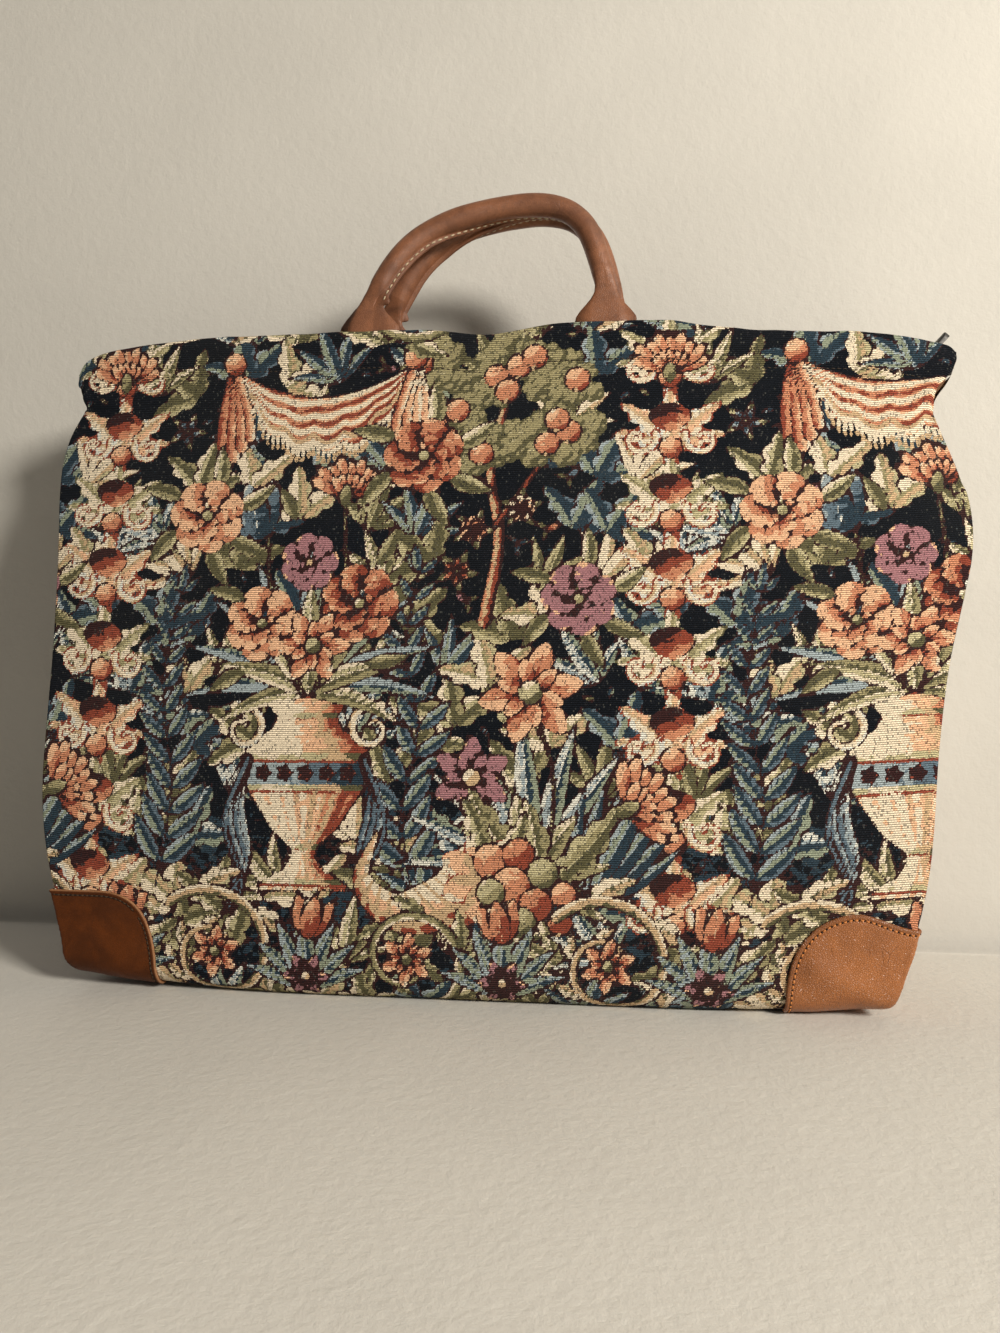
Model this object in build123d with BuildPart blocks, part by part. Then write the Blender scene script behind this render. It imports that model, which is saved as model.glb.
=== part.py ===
"""A large tapestry carpet bag with leather corners and rolled leather handles.

The bag stands on its base, with its front towards -Y, its zip along X and +Z up.
Every soft wall is taken from one family of lofted forms, each set in from the last
by a cloth thickness, so that neighbouring walls share their faces. Millimetres.
"""

import os

from build123d import *

# Overall form
half_width = 278.0  # from the middle of the bag to its widest point, on either side
bag_height = 407.0  # from the floor to the top edge, where the handles are sewn in
base_depth = 132.0
waist_depth = 104.0  # half way up
shoulder_depth = 72.0  # three quarters of the way up
mouth_depth = 40.0
base_corner_radius = 13.0  # where the base turns up into the front and the back
base_lift = 8.0  # how far the corners stand off the floor
base_press = 0.5  # how far the middle of the base is pressed flat by the floor
flat_base_half_length = 105.0

# Cloth and leather
tapestry_thickness = 2.0
facing_thickness = 1.6
lining_thickness = 1.0
patch_thickness = 1.8
tab_thickness = 2.4

# Outline of the front: how far each point of an edge stands in from the widest point,
# and its height as a share of the bag's, from the foot up past the dent to the ear
left_edge = [
    (24.0, 0.055),
    (11.0, 0.17),
    (3.5, 0.42),
    (0.0, 0.72),
    (2.5, 0.86),
    (8.5, 0.9),
    (3.0, 0.944),
]
right_edge = [
    (45.0, 0.055),
    (33.0, 0.15),
    (24.0, 0.31),
    (10.0, 0.52),
    (0.5, 0.73),
    (12.5, 0.87),
    (0.0, 0.934),
]
foot_radius = 17.0
foot_height = 3.0  # where the arc of a foot ends, just below the base
left_ear_length = 17.0
left_ear_drop = 6.5  # from the top edge down to the top of the ear
right_ear_length = 14.0
right_ear_drop = 18.5
right_slope_drop = 5.5  # a hand's breadth past the right tab
mouth_sag = 5.5  # dip of the top edge between the handles

# Gusset folds
left_fold_depth = 40.0
right_fold_depth = 46.0
fold_start_height = 30.0
fold_roof_drop = 54.0  # roof of the fold below the top edge
fold_start_depth = 8.0  # how far outside the edge the fold's line begins
fold_overrun = 14.0
seam_ridge = 1.2  # cloth left standing proud between the fold and the panel's inner face

# Seams and bands
base_seam_inset = 11.0  # seam of the base, in from the edge of the base
facing_height = 38.0
corner_patch_height = 60.0
corner_patch_wrap = 46.0  # how far a patch reaches round the side and under the base
left_patch_curve = 38.0
right_patch_curve = 50.0
left_patch_length = 58.0
right_patch_length = 62.0

# Zip
zip_drop = 32.0  # middle of the teeth below the top edge
tooth_pitch = 6.0
tooth_length = 3.2
tooth_thickness = 2.4
tooth_gap = 0.15
tooth_overlap = 1.0  # how far a tooth passes the middle of the zip
spine_width = 1.0
tape_thickness = 1.0
tape_hem_height = 6.0
left_zip_end_inset = 16.0
right_zip_end_inset = 5.0
stop_length = 2.4
end_fold_length = 4.0
end_fold_radius = 1.4
left_end_fold_height = 2.5
slider_length = 13.0
slider_wall = 1.3
slider_clearance = 0.3
bridge_width = 2.2
bridge_bar = 1.2
bridge_length = 9.0
pull_bar_diameter = 1.8
pull_length = 22.0
pull_width = 8.0
pull_thickness = 1.6
pull_lean = 47.0  # degrees above level, resting on the folded end of the zip
slider_end_gap = 0.6

# Handles
handle_middle = -3.5  # middle of the handles along X
handle_span = 149.0  # between the middles of a handle's two tabs
handle_height = 80.0  # from the top edge to the middle of the grip
grip_diameter = 14.0
grip_gap = 0.9  # between the two grips where they lean together
tab_width = 39.0
tab_neck_width = 12.0
tab_height = 21.0
roll_taper = 11.0  # length over which the roll closes down onto its flat tab
tab_seat_gap = 0.3
tab_margin = 6.0  # level top edge on either side of a tab
back_handle_shift = 5.0

os.makedirs("parts", exist_ok=True)

zip_height = bag_height - zip_drop
facing_bottom = bag_height - facing_height
fold_roof = bag_height - fold_roof_drop
above_mouth = bag_height + 30.0
below_floor = -20.0
reach = half_width + 22.0  # how far the lofted form runs before its ends are trimmed
station_gap = reach / 5


def base_rise(x):
    """Height of the underside of the bag at x, before the floor presses its middle flat."""
    past_flat = max(0.0, abs(x) - flat_base_half_length)
    share = past_flat / (half_width - right_edge[0][0] - flat_base_half_length)
    return base_lift * share**2 - base_press


def half_depth(depth, x, narrowing):
    """Half of a depth at x, where narrowing is the share that is lost at the bag's sides."""
    return depth / 2 * (1 - narrowing * (abs(x) / half_width) ** 3)


def mouth_half_depth(x):
    return half_depth(mouth_depth, x, 0.28)


def bag_form(inset):
    """The whole bag as a solid, set in by a distance, before its ends are trimmed."""
    with BuildPart() as form:
        for station in range(-5, 6):
            x = station * station_gap
            floor = base_rise(x) + inset
            radius = base_corner_radius - inset
            base = half_depth(base_depth, x, 0.03) - inset
            low = half_depth(base_depth * 0.985, x, 0.05) - inset
            waist = half_depth(waist_depth, x, 0.1) - inset
            shoulder = half_depth(shoulder_depth, x, 0.16) - inset
            mouth = mouth_half_depth(x) - inset
            profile = [
                (base, floor + radius),
                (low, floor + bag_height * 0.15),
                (waist, bag_height * 0.5),
                (shoulder, bag_height * 0.74),
                (mouth + 1.2, bag_height - facing_height),
                (mouth, bag_height),
                (mouth, above_mouth),
            ]
            mirrored = [(-y, z) for y, z in profile]
            with BuildSketch(Plane((x, 0, 0), x_dir=(0, 1, 0), z_dir=(1, 0, 0))):
                with BuildLine():
                    Line((base - radius, floor), (radius - base, floor))
                    RadiusArc((base - radius, floor), profile[0], -radius)
                    Spline(*profile, tangents=[(0, 1), (0, 1)])
                    Line(profile[-1], mirrored[-1])
                    Spline(*mirrored, tangents=[(0, 1), (0, 1)])
                    RadiusArc((radius - base, floor), mirrored[0], radius)
                make_face()
        loft()
        split(bisect_by=Plane.XY.offset(inset), keep=Keep.TOP)
    return form.part


def side_outline(side, inset):
    """One edge of the front, from its foot up to its ear, set in by a distance."""
    points = left_edge if side < 0 else right_edge
    return [(side * (half_width - inset - x), bag_height * share) for x, share in points]


def edge_at(points, height):
    """X of an outline at a height, on straight lines between its points."""
    for (x_low, z_low), (x_high, z_high) in zip(points, points[1:]):
        if height <= z_high:
            return x_low + (x_high - x_low) * (height - z_low) / (z_high - z_low)
    return points[-1][0]


def front_outline(inset, open_top):
    """A block as deep as the bag with the outline of its front, set in by a distance."""
    left = side_outline(-1, inset)
    right = side_outline(1, inset)
    left_foot = (left[0][0] + foot_radius, foot_height + inset)
    right_foot = (right[0][0] - foot_radius, foot_height + inset)
    tab_edges = [
        handle_middle + side * handle_span / 2 + edge * (tab_width / 2 + tab_margin)
        for side in (-1, 1)
        for edge in (-1, 1)
    ]
    with BuildPart() as block:
        with BuildSketch(Plane.XZ):
            with BuildLine():
                Line((left_foot[0], below_floor), (right_foot[0], below_floor))
                Line((left_foot[0], below_floor), left_foot)
                TangentArc(left[0], left_foot, tangent=(0.1, -1))
                Spline(*left, tangents=[(-0.15, 1), (0, 1)])
                Spline(*right, tangents=[(0.3, 1), (0.1, 1)])
                TangentArc(right[0], right_foot, tangent=(-0.3, -1))
                Line((right_foot[0], below_floor), right_foot)
                if open_top:
                    Line(left[-1], (left[-1][0], above_mouth + 5))
                    Line((left[-1][0], above_mouth + 5), (right[-1][0], above_mouth + 5))
                    Line(right[-1], (right[-1][0], above_mouth + 5))
                else:
                    top = [(x, bag_height) for x in tab_edges]
                    left_ear = (left[-1][0] + left_ear_length, bag_height - left_ear_drop)
                    right_ear = (right[-1][0] - right_ear_length, bag_height - right_ear_drop)
                    Spline(left[-1], left_ear, tangents=[(0, 1), (1, 0.2)])
                    Spline(left_ear, top[0], tangents=[(1, 0.2), (1, 0)])
                    Line(top[0], top[1])
                    Spline(
                        top[1],
                        (handle_middle, bag_height - mouth_sag),
                        top[2],
                        tangents=[(1, 0), (1, 0)],
                    )
                    Line(top[2], top[3])
                    Spline(
                        top[3],
                        (top[3][0] + tab_width, bag_height - right_slope_drop),
                        right_ear,
                        tangents=[(1, 0), (1, -0.3)],
                    )
                    Spline(right_ear, right[-1], tangents=[(1, -0.3), (0.1, -1)])
            make_face()
        extrude(amount=base_depth, both=True)
    return block.part


def gusset_fold(side, inset):
    """The hollow between front and back where a side is folded inwards."""
    outline = side_outline(side, 0)
    deepest = left_fold_depth if side < 0 else right_fold_depth
    roof = fold_roof + inset
    with BuildPart() as fold:
        for share in (0.0, 0.3, 0.65, 1.0):
            z = fold_start_height + (roof - fold_start_height) * share
            edge = edge_at(outline, z)
            depth = (deepest + fold_start_depth) * share - fold_start_depth + inset
            rim = ridge_half_depth(edge, z) + inset
            lip = edge + side * max(0.0, -depth)
            mouth = edge + side * fold_overrun
            tip = edge - side * depth
            with BuildSketch(Plane.XY.offset(z)):
                with BuildLine():
                    Spline(
                        (mouth, rim * 1.02),
                        (lip, rim * 0.96),
                        (lip + (tip - lip) * 0.62, rim * 0.45),
                        (tip, 0),
                        (lip + (tip - lip) * 0.62, -rim * 0.45),
                        (lip, -rim * 0.96),
                        (mouth, -rim * 1.02),
                    )
                    Line((mouth, -rim * 1.02), (mouth, rim * 1.02))
                make_face()
        loft()
    return fold.part


def ridge_half_depth(x, z):
    """Half of the fold's opening at a height, which leaves a ridge beside each panel."""
    heights = [0.0, bag_height * 0.15, bag_height * 0.5, bag_height * 0.74, facing_bottom]
    depths = [
        half_depth(base_depth, x, 0.03),
        half_depth(base_depth * 0.985, x, 0.05),
        half_depth(waist_depth, x, 0.1),
        half_depth(shoulder_depth, x, 0.16),
        mouth_half_depth(x) + 1.2,
    ]
    points = list(zip(depths, heights))
    return edge_at(points, z) - tapestry_thickness * 2 - seam_ridge


# Forms that the walls are cut from
outer_form = bag_form(0)
cloth_form = bag_form(tapestry_thickness)
facing_form = bag_form(tapestry_thickness + facing_thickness)
outer_block = front_outline(0, open_top=False)
folds = [gusset_fold(side, 0) for side in (-1, 1)]
fold_backs = [gusset_fold(side, tapestry_thickness) for side in (-1, 1)]
lined_folds = [gusset_fold(side, tapestry_thickness + lining_thickness) for side in (-1, 1)]

with BuildPart() as inner_block:
    add(front_outline(tapestry_thickness, open_top=True))
    add(fold_backs, mode=Mode.SUBTRACT)

with BuildPart() as skin:
    add(outer_form)
    add(cloth_form, mode=Mode.SUBTRACT)
    add(outer_block, mode=Mode.INTERSECT)

# Base panel: the strip between the two seams under the bag
with BuildPart() as base_strip:
    with BuildSketch(Plane.XY.offset(below_floor)):
        Rectangle(3 * half_width, base_depth - 2 * base_corner_radius - base_seam_inset)
    extrude(amount=base_lift + base_corner_radius - below_floor)

with BuildPart() as base_panel:
    add(skin.part)
    add(base_strip.part, mode=Mode.INTERSECT)
base_panel.part.label = "base_panel"
export_step(base_panel.part, "parts/base_panel.step")

# Front and back panels, each turned under the bag as far as the base's seam
with BuildPart() as front_panel:
    add(skin.part)
    add(base_strip.part, mode=Mode.SUBTRACT)
    split(bisect_by=Plane.XZ, keep=Keep.TOP)
front_panel.part.label = "front_panel"
export_step(front_panel.part, "parts/front_panel.step")

with BuildPart() as back_panel:
    add(skin.part)
    add(base_strip.part, mode=Mode.SUBTRACT)
    split(bisect_by=Plane.XZ, keep=Keep.BOTTOM)
back_panel.part.label = "back_panel"
export_step(back_panel.part, "parts/back_panel.step")

# Side gussets, folded inwards between the panels and shut under the zip's ends
with BuildPart() as gussets:
    add(cloth_form)
    split(bisect_by=Plane.XY.offset(facing_bottom), keep=Keep.BOTTOM)
    add(outer_block, mode=Mode.INTERSECT)
    add(folds, mode=Mode.SUBTRACT)
    add(inner_block.part, mode=Mode.SUBTRACT)

with BuildPart() as side_gusset_left:
    add(gussets.part.solids().sort_by(Axis.X)[0])
side_gusset_left.part.label = "side_gusset_left"
export_step(side_gusset_left.part, "parts/side_gusset_left.step")

with BuildPart() as side_gusset_right:
    add(gussets.part.solids().sort_by(Axis.X)[-1])
side_gusset_right.part.label = "side_gusset_right"
export_step(side_gusset_right.part, "parts/side_gusset_right.step")

# Lining, an open-topped bag inside the cloth
with BuildPart() as lined_inside:
    add(bag_form(tapestry_thickness + lining_thickness))
    add(
        front_outline(tapestry_thickness + lining_thickness, open_top=True),
        mode=Mode.INTERSECT,
    )
    add(lined_folds, mode=Mode.SUBTRACT)

with BuildPart() as lining:
    add(cloth_form)
    split(bisect_by=Plane.XY.offset(facing_bottom), keep=Keep.BOTTOM)
    add(inner_block.part, mode=Mode.INTERSECT)
    add(lined_inside.part, mode=Mode.SUBTRACT)
lining.part.label = "lining"
export_step(lining.part, "parts/lining.step")

# Top facings, the turned-in band behind the top edge of each panel
with BuildPart() as facings:
    add(cloth_form)
    split(bisect_by=Plane.XY.offset(facing_bottom), keep=Keep.TOP)
    add(facing_form, mode=Mode.SUBTRACT)
    add(outer_block, mode=Mode.INTERSECT)

with BuildPart() as top_facing_front:
    add(facings.part)
    split(bisect_by=Plane.XZ, keep=Keep.TOP)
top_facing_front.part.label = "top_facing_front"
export_step(top_facing_front.part, "parts/top_facing_front.step")

with BuildPart() as top_facing_back:
    add(facings.part)
    split(bisect_by=Plane.XZ, keep=Keep.BOTTOM)
top_facing_back.part.label = "top_facing_back"
export_step(top_facing_back.part, "parts/top_facing_back.step")

# Leather corner patches, wrapped round the side and under the base
with BuildPart() as below_patches:
    add(outer_form)
    split(bisect_by=Plane.XY.offset(corner_patch_height * 1.5), keep=Keep.BOTTOM)
    add(outer_block, mode=Mode.INTERSECT)

with BuildPart() as leather_skin:
    add(bag_form(-patch_thickness))
    split(bisect_by=Plane.XY.offset(corner_patch_height * 1.4), keep=Keep.BOTTOM)
    add(front_outline(-patch_thickness, open_top=True), mode=Mode.INTERSECT)
    add(below_patches.part, mode=Mode.SUBTRACT)


def patch_outline(side, inner_end, curve_length, low, high):
    """A patch's flat outline: a curve from its inner end up to its top, then a level edge."""
    foot = side * inner_end
    top_start = side * (inner_end + curve_length)
    far = side * (half_width + 20.0)
    with BuildLine() as edge:
        Line((foot, low - 150), (foot, low))
        Spline((foot, low), (top_start, high), tangents=[(0, 1), (side, 0)])
        Line((top_start, high), (far, high))
        Line((far, high), (far, low - 150))
        Line((far, low - 150), (foot, low - 150))
    return edge.line


def corner_patch(side):
    """A corner patch at the front of the bag."""
    foot_inset = left_edge[0][0] if side < 0 else right_edge[0][0]
    length = left_patch_length if side < 0 else right_patch_length
    curve_length = left_patch_curve if side < 0 else right_patch_curve
    inner_end = half_width - foot_inset - length
    front_edge = -base_depth / 2
    with BuildPart() as patch:
        with BuildSketch(Plane.XZ):
            with BuildLine():
                add(patch_outline(side, inner_end, curve_length, 5.0, corner_patch_height))
            make_face()
        extrude(amount=base_depth, both=True)
        with BuildSketch(Plane.XY.offset(below_floor)):
            with BuildLine():
                add(
                    patch_outline(
                        side, inner_end, curve_length, front_edge + 8, front_edge + corner_patch_wrap
                    )
                )
            make_face()
        extrude(amount=2 * corner_patch_height, mode=Mode.INTERSECT)
        add(leather_skin.part, mode=Mode.INTERSECT)
    return patch.part


with BuildPart() as corner_patch_front_left:
    add(corner_patch(-1))
corner_patch_front_left.part.label = "corner_patch_front_left"
export_step(corner_patch_front_left.part, "parts/corner_patch_front_left.step")

with BuildPart() as corner_patch_front_right:
    add(corner_patch(1))
corner_patch_front_right.part.label = "corner_patch_front_right"
export_step(corner_patch_front_right.part, "parts/corner_patch_front_right.step")

with BuildPart() as corner_patch_back_left:
    mirror(corner_patch_front_left.part, about=Plane.XZ)
corner_patch_back_left.part.label = "corner_patch_back_left"
export_step(corner_patch_back_left.part, "parts/corner_patch_back_left.step")

with BuildPart() as corner_patch_back_right:
    mirror(corner_patch_front_right.part, about=Plane.XZ)
corner_patch_back_right.part.label = "corner_patch_back_right"
export_step(corner_patch_back_right.part, "parts/corner_patch_back_right.step")

# Zip: places along X of its tapes, stops and teeth
tape_left = left_zip_end_inset - half_width
tape_right = half_width - right_zip_end_inset
teeth_left = tape_left + end_fold_length + stop_length + tooth_gap
teeth_right = tape_right - end_fold_length - stop_length - tooth_gap
chain_half_width = tooth_length - tooth_overlap + spine_width
tape_top = zip_height + tape_thickness / 2
tape_inset = tapestry_thickness + facing_thickness + tape_thickness

# Zip tapes, level beside the teeth and turned down along the facings
with BuildPart() as below_tape:
    add(bag_form(tape_inset))
    split(bisect_by=Plane.XY.offset(tape_top - tape_thickness), keep=Keep.BOTTOM)

with BuildPart() as tapes:
    with BuildSketch(Plane.XY.offset(tape_top - tape_hem_height)):
        with Locations(((tape_left + tape_right) / 2, 0)):
            Rectangle(tape_right - tape_left, base_depth)
    extrude(amount=tape_hem_height)
    add(facing_form, mode=Mode.INTERSECT)
    add(below_tape.part, mode=Mode.SUBTRACT)
    with Locations((0, 0, tape_top - tape_thickness / 2)):
        Box(3 * half_width, 2 * chain_half_width, 2 * tape_thickness, mode=Mode.SUBTRACT)

with BuildPart() as zip_tape_front:
    add(tapes.part.solids().sort_by(Axis.Y)[0])
zip_tape_front.part.label = "zip_tape_front"
export_step(zip_tape_front.part, "parts/zip_tape_front.step")

with BuildPart() as zip_tape_back:
    add(tapes.part.solids().sort_by(Axis.Y)[-1])
zip_tape_back.part.label = "zip_tape_back"
export_step(zip_tape_back.part, "parts/zip_tape_back.step")


def tooth_row(side):
    """One row of teeth on its spine. The two rows stand half a pitch apart and mesh."""
    first = teeth_left + tooth_pitch / 4 + (tooth_pitch / 2 if side > 0 else 0)
    count = int((teeth_right - tooth_pitch / 4 - first) // tooth_pitch) + 1
    tooth_middle = side * (tooth_length / 2 - tooth_overlap)
    with BuildPart() as row:
        with BuildSketch(Plane.XY.offset(zip_height - tooth_thickness / 2)):
            with Locations(((teeth_left + teeth_right) / 2, side * (chain_half_width - spine_width / 2))):
                Rectangle(teeth_right - teeth_left, spine_width)
            with Locations(*[(first + i * tooth_pitch, tooth_middle) for i in range(count)]):
                Rectangle(tooth_pitch / 2 - tooth_gap, tooth_length)
        extrude(amount=tooth_thickness)
    return row.part


with BuildPart() as zip_teeth_front:
    add(tooth_row(-1))
zip_teeth_front.part.label = "zip_teeth_front"
export_step(zip_teeth_front.part, "parts/zip_teeth_front.step")

with BuildPart() as zip_teeth_back:
    add(tooth_row(1))
zip_teeth_back.part.label = "zip_teeth_back"
export_step(zip_teeth_back.part, "parts/zip_teeth_back.step")

# Stops: one bar across both tapes at the closed end, two separate ones at the other
with BuildPart() as zip_bottom_stop:
    with BuildSketch(Plane.XY.offset(zip_height - tooth_thickness / 2)):
        with Locations((teeth_left - tooth_gap - stop_length / 2, 0)):
            Rectangle(stop_length, 2 * chain_half_width)
    extrude(amount=tooth_thickness)
    fillet(zip_bottom_stop.edges().filter_by(Axis.Z), radius=0.6)
zip_bottom_stop.part.label = "zip_bottom_stop"
export_step(zip_bottom_stop.part, "parts/zip_bottom_stop.step")

with BuildPart() as zip_top_stops:
    with BuildSketch(Plane.XY.offset(zip_height - tooth_thickness / 2)):
        with Locations((teeth_right + tooth_gap + stop_length / 2, 0)):
            with GridLocations(0, chain_half_width + tooth_gap, 1, 2):
                Rectangle(stop_length, chain_half_width - tooth_gap)
    extrude(amount=tooth_thickness)
zip_top_stops.part.label = "zip_top_stops"
export_step(zip_top_stops.part, "parts/zip_top_stops.step")

# Slider, a plate above the teeth and one below them, each with lips beside the row
slider_right = teeth_right - slider_end_gap
slider_middle = slider_right - slider_length / 2
channel_half_width = chain_half_width + slider_clearance
slider_half_width = channel_half_width + slider_wall
plate_bottom = zip_height + tooth_thickness / 2 + slider_clearance
plate_top = plate_bottom + slider_wall
lip_bottom = tape_top + slider_clearance
bar_radius = pull_bar_diameter / 2
bridge_window = pull_bar_diameter + 2 * slider_clearance
bar_height = plate_top + bridge_window / 2
bar_x = slider_middle + bridge_length / 2 - bridge_bar - slider_clearance - bar_radius


def slider_plate(lip_edge, plate_edge, outer):
    """One plate of the slider, from the edge of its lips to its outer face."""
    with BuildPart() as plate:
        with BuildSketch(Plane.XY.offset(min(lip_edge, outer))) as outline:
            with BuildLine():
                Polyline(
                    (slider_right, slider_half_width),
                    (slider_right - slider_length * 0.45, slider_half_width),
                    (slider_right - slider_length, slider_half_width - slider_wall * 0.6),
                    (slider_right - slider_length, slider_wall * 0.6 - slider_half_width),
                    (slider_right - slider_length * 0.45, -slider_half_width),
                    (slider_right, -slider_half_width),
                    close=True,
                )
            make_face()
            fillet(outline.vertices().group_by(Axis.X)[-1], radius=slider_wall)
        extrude(amount=abs(outer - lip_edge))
        with Locations((slider_middle, 0, (lip_edge + plate_edge) / 2)):
            Box(
                2 * slider_length,
                2 * channel_half_width,
                abs(plate_edge - lip_edge),
                mode=Mode.SUBTRACT,
            )
    return plate.part


with BuildPart() as zip_slider:
    add(slider_plate(lip_bottom, plate_bottom, plate_top))
    with BuildSketch(Plane.XZ) as bridge:
        with Locations((slider_middle, plate_top + (bridge_window + bridge_bar) / 2)):
            Rectangle(bridge_length, bridge_window + bridge_bar)
        fillet(bridge.vertices().group_by(Axis.Y)[-1], radius=bridge_bar)
        with Locations((slider_middle, plate_top + bridge_window / 2)):
            Rectangle(bridge_length - 2 * bridge_bar, bridge_window, mode=Mode.SUBTRACT)
    extrude(amount=bridge_width / 2, both=True)
    add(
        slider_plate(
            2 * zip_height - lip_bottom, 2 * zip_height - plate_bottom, 2 * zip_height - plate_top
        )
    )
zip_slider.part.label = "zip_slider"
export_step(zip_slider.part, "parts/zip_slider.step")

# Zip pull, hung by its bar in the slider's bridge and leaning on the folded end of the zip
eye_length = bridge_length + 1.5
pull_plane = Plane(
    (bar_x, 0, bar_height), x_dir=(1, 0, 0), z_dir=(0, 0, 1)
).rotated((0, -pull_lean, 0))
with BuildPart() as zip_pull:
    with BuildSketch(pull_plane) as pull_face:
        with Locations((pull_length / 2, 0)):
            Rectangle(pull_length, pull_width)
        fillet(pull_face.vertices().group_by(Axis.X)[-1], radius=pull_width * 0.4)
        with Locations((eye_length / 2, 0)):
            Rectangle(eye_length, bridge_width + 1.2, mode=Mode.SUBTRACT)
    extrude(amount=pull_thickness / 2, both=True)
    with Locations(Plane((bar_x, 0, bar_height), z_dir=(0, 1, 0))):
        Cylinder(bar_radius, pull_width)
zip_pull.part.label = "zip_pull"
export_step(zip_pull.part, "parts/zip_pull.step")


def zip_end_fold(side, height):
    """The folded end of the zip's tapes, shut between the two ears."""
    outer_end = tape_right if side > 0 else tape_left
    with BuildPart() as fold:
        with BuildSketch(Plane.XZ) as profile:
            with Locations((outer_end - side * end_fold_length / 2, tape_top + height / 2)):
                Rectangle(end_fold_length, height)
            fillet(profile.vertices().group_by(Axis.Y)[-1], radius=end_fold_radius)
        extrude(amount=base_depth / 2, both=True)
        add(facing_form, mode=Mode.INTERSECT)
    return fold.part


# The right fold's rounded corner stands just clear of the pull that leans over it
fold_corner = tape_right - end_fold_length + end_fold_radius
pull_slope = Vector(1, 0).rotate(Axis.Z, pull_lean)
corner_clearance = end_fold_radius + slider_clearance + pull_thickness / 2
corner_height = bar_height + (fold_corner - bar_x) * pull_slope.Y / pull_slope.X
corner_height -= corner_clearance / pull_slope.X

with BuildPart() as zip_end_fold_left:
    add(zip_end_fold(-1, left_end_fold_height))
zip_end_fold_left.part.label = "zip_end_fold_left"
export_step(zip_end_fold_left.part, "parts/zip_end_fold_left.step")

with BuildPart() as zip_end_fold_right:
    add(zip_end_fold(1, corner_height + end_fold_radius - tape_top))
zip_end_fold_right.part.label = "zip_end_fold_right"
export_step(zip_end_fold_right.part, "parts/zip_end_fold_right.step")

# Handles, rolled from one piece of leather each, leaning together over the mouth
tab_middle_y = mouth_half_depth(handle_span / 2) - tapestry_thickness - tab_thickness / 2
grip_middle_y = (grip_diameter + grip_gap) / 2
lean_sine = (tab_middle_y - grip_middle_y) / handle_height
lean_cosine = (1 - lean_sine**2) ** 0.5
roll_bends = [(0.01, 0.39), (0.2, 0.8), (0.62, 1.0), (0.91, 0.74), (0.99, 0.39)]
left_tab_middle = handle_middle - handle_span / 2
right_tab_middle = handle_middle + handle_span / 2
handle_plane = Plane(
    (0, -tab_middle_y, bag_height + tab_seat_gap),
    x_dir=(1, 0, 0),
    z_dir=(0, -lean_cosine, lean_sine),
)


def roll_line():
    """The middle of the rolled grip, a chain of arcs, each running on from the last."""
    points = [(left_tab_middle + x * handle_span, h * handle_height) for x, h in roll_bends]
    heading = (0.12, 1)
    arcs = []
    for start, end in zip(points, points[1:]):
        arc = TangentArc(start, end, tangent=heading)
        arcs.append(arc.edge())
        heading = arc % 1
    return handle_plane.location * Wire(arcs)


def tab_edge(middle, side):
    """One edge of a tab, from its seam up to its neck."""
    half_neck = tab_neck_width / 2
    flare = tab_width / 2 - half_neck
    return [
        (middle + side * (half_neck + flare), 0),
        (middle + side * (half_neck + flare * 0.92), tab_height * 0.2),
        (middle + side * (half_neck + flare * 0.3), tab_height * 0.62),
        (middle + side * half_neck, tab_height),
    ]


def rolled_handle():
    """The front handle: a round roll that closes down onto a flat tab at either end."""
    grip = roll_line()
    ends = [(left_tab_middle, grip @ 0, -(grip % 0)), (right_tab_middle, grip @ 1, grip % 1)]
    with BuildPart() as leather:
        with BuildSketch(Plane(grip @ 0, z_dir=grip % 0)):
            Circle(grip_diameter / 2)
        sweep(path=grip)
        for middle, roll_end, outwards in ends:
            left_side, right_side = [tab_edge(middle, side) for side in (-1, 1)]
            neck_top = handle_height * roll_bends[0][1]
            with BuildSketch(handle_plane):
                with BuildLine():
                    Line(left_side[0], right_side[0])
                    Spline(*right_side, tangents=[(0, 1), (0, 1)])
                    Line(right_side[-1], (right_side[-1][0], neck_top))
                    Line((right_side[-1][0], neck_top), (left_side[-1][0], neck_top))
                    Line((left_side[-1][0], neck_top), left_side[-1])
                    Spline(*left_side, tangents=[(0, 1), (0, 1)])
                make_face()
            extrude(amount=tab_thickness / 2, both=True)
            with Locations(Plane(roll_end, z_dir=outwards)):
                Cone(
                    grip_diameter / 2,
                    tab_thickness / 2,
                    roll_taper,
                    align=(Align.CENTER, Align.CENTER, Align.MIN),
                )
    return leather.part


with BuildPart() as handle_front:
    add(rolled_handle())
handle_front.part.label = "handle_front"
export_step(handle_front.part, "parts/handle_front.step")

with BuildPart() as handle_back:
    with Locations((back_handle_shift, 0, 0)):
        add(mirror(handle_front.part, about=Plane.XZ, mode=Mode.PRIVATE))
handle_back.part.label = "handle_back"
export_step(handle_back.part, "parts/handle_back.step")
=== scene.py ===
"""Scene for a tapestry carpet bag: woven cloth, leather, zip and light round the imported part.

Each CAD wall gets a fine mesh laid on its surface, with creases and rolled edges. The
tapestry is drawn by code as a repeat of yarn numbers and carried to the cloth as
attributes, from which its material picks one yarn for every thread.
"""

import math

import bpy
import numpy as np
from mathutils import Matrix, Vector
from mathutils.bvhtree import BVHTree
from mathutils.kdtree import KDTree


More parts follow.
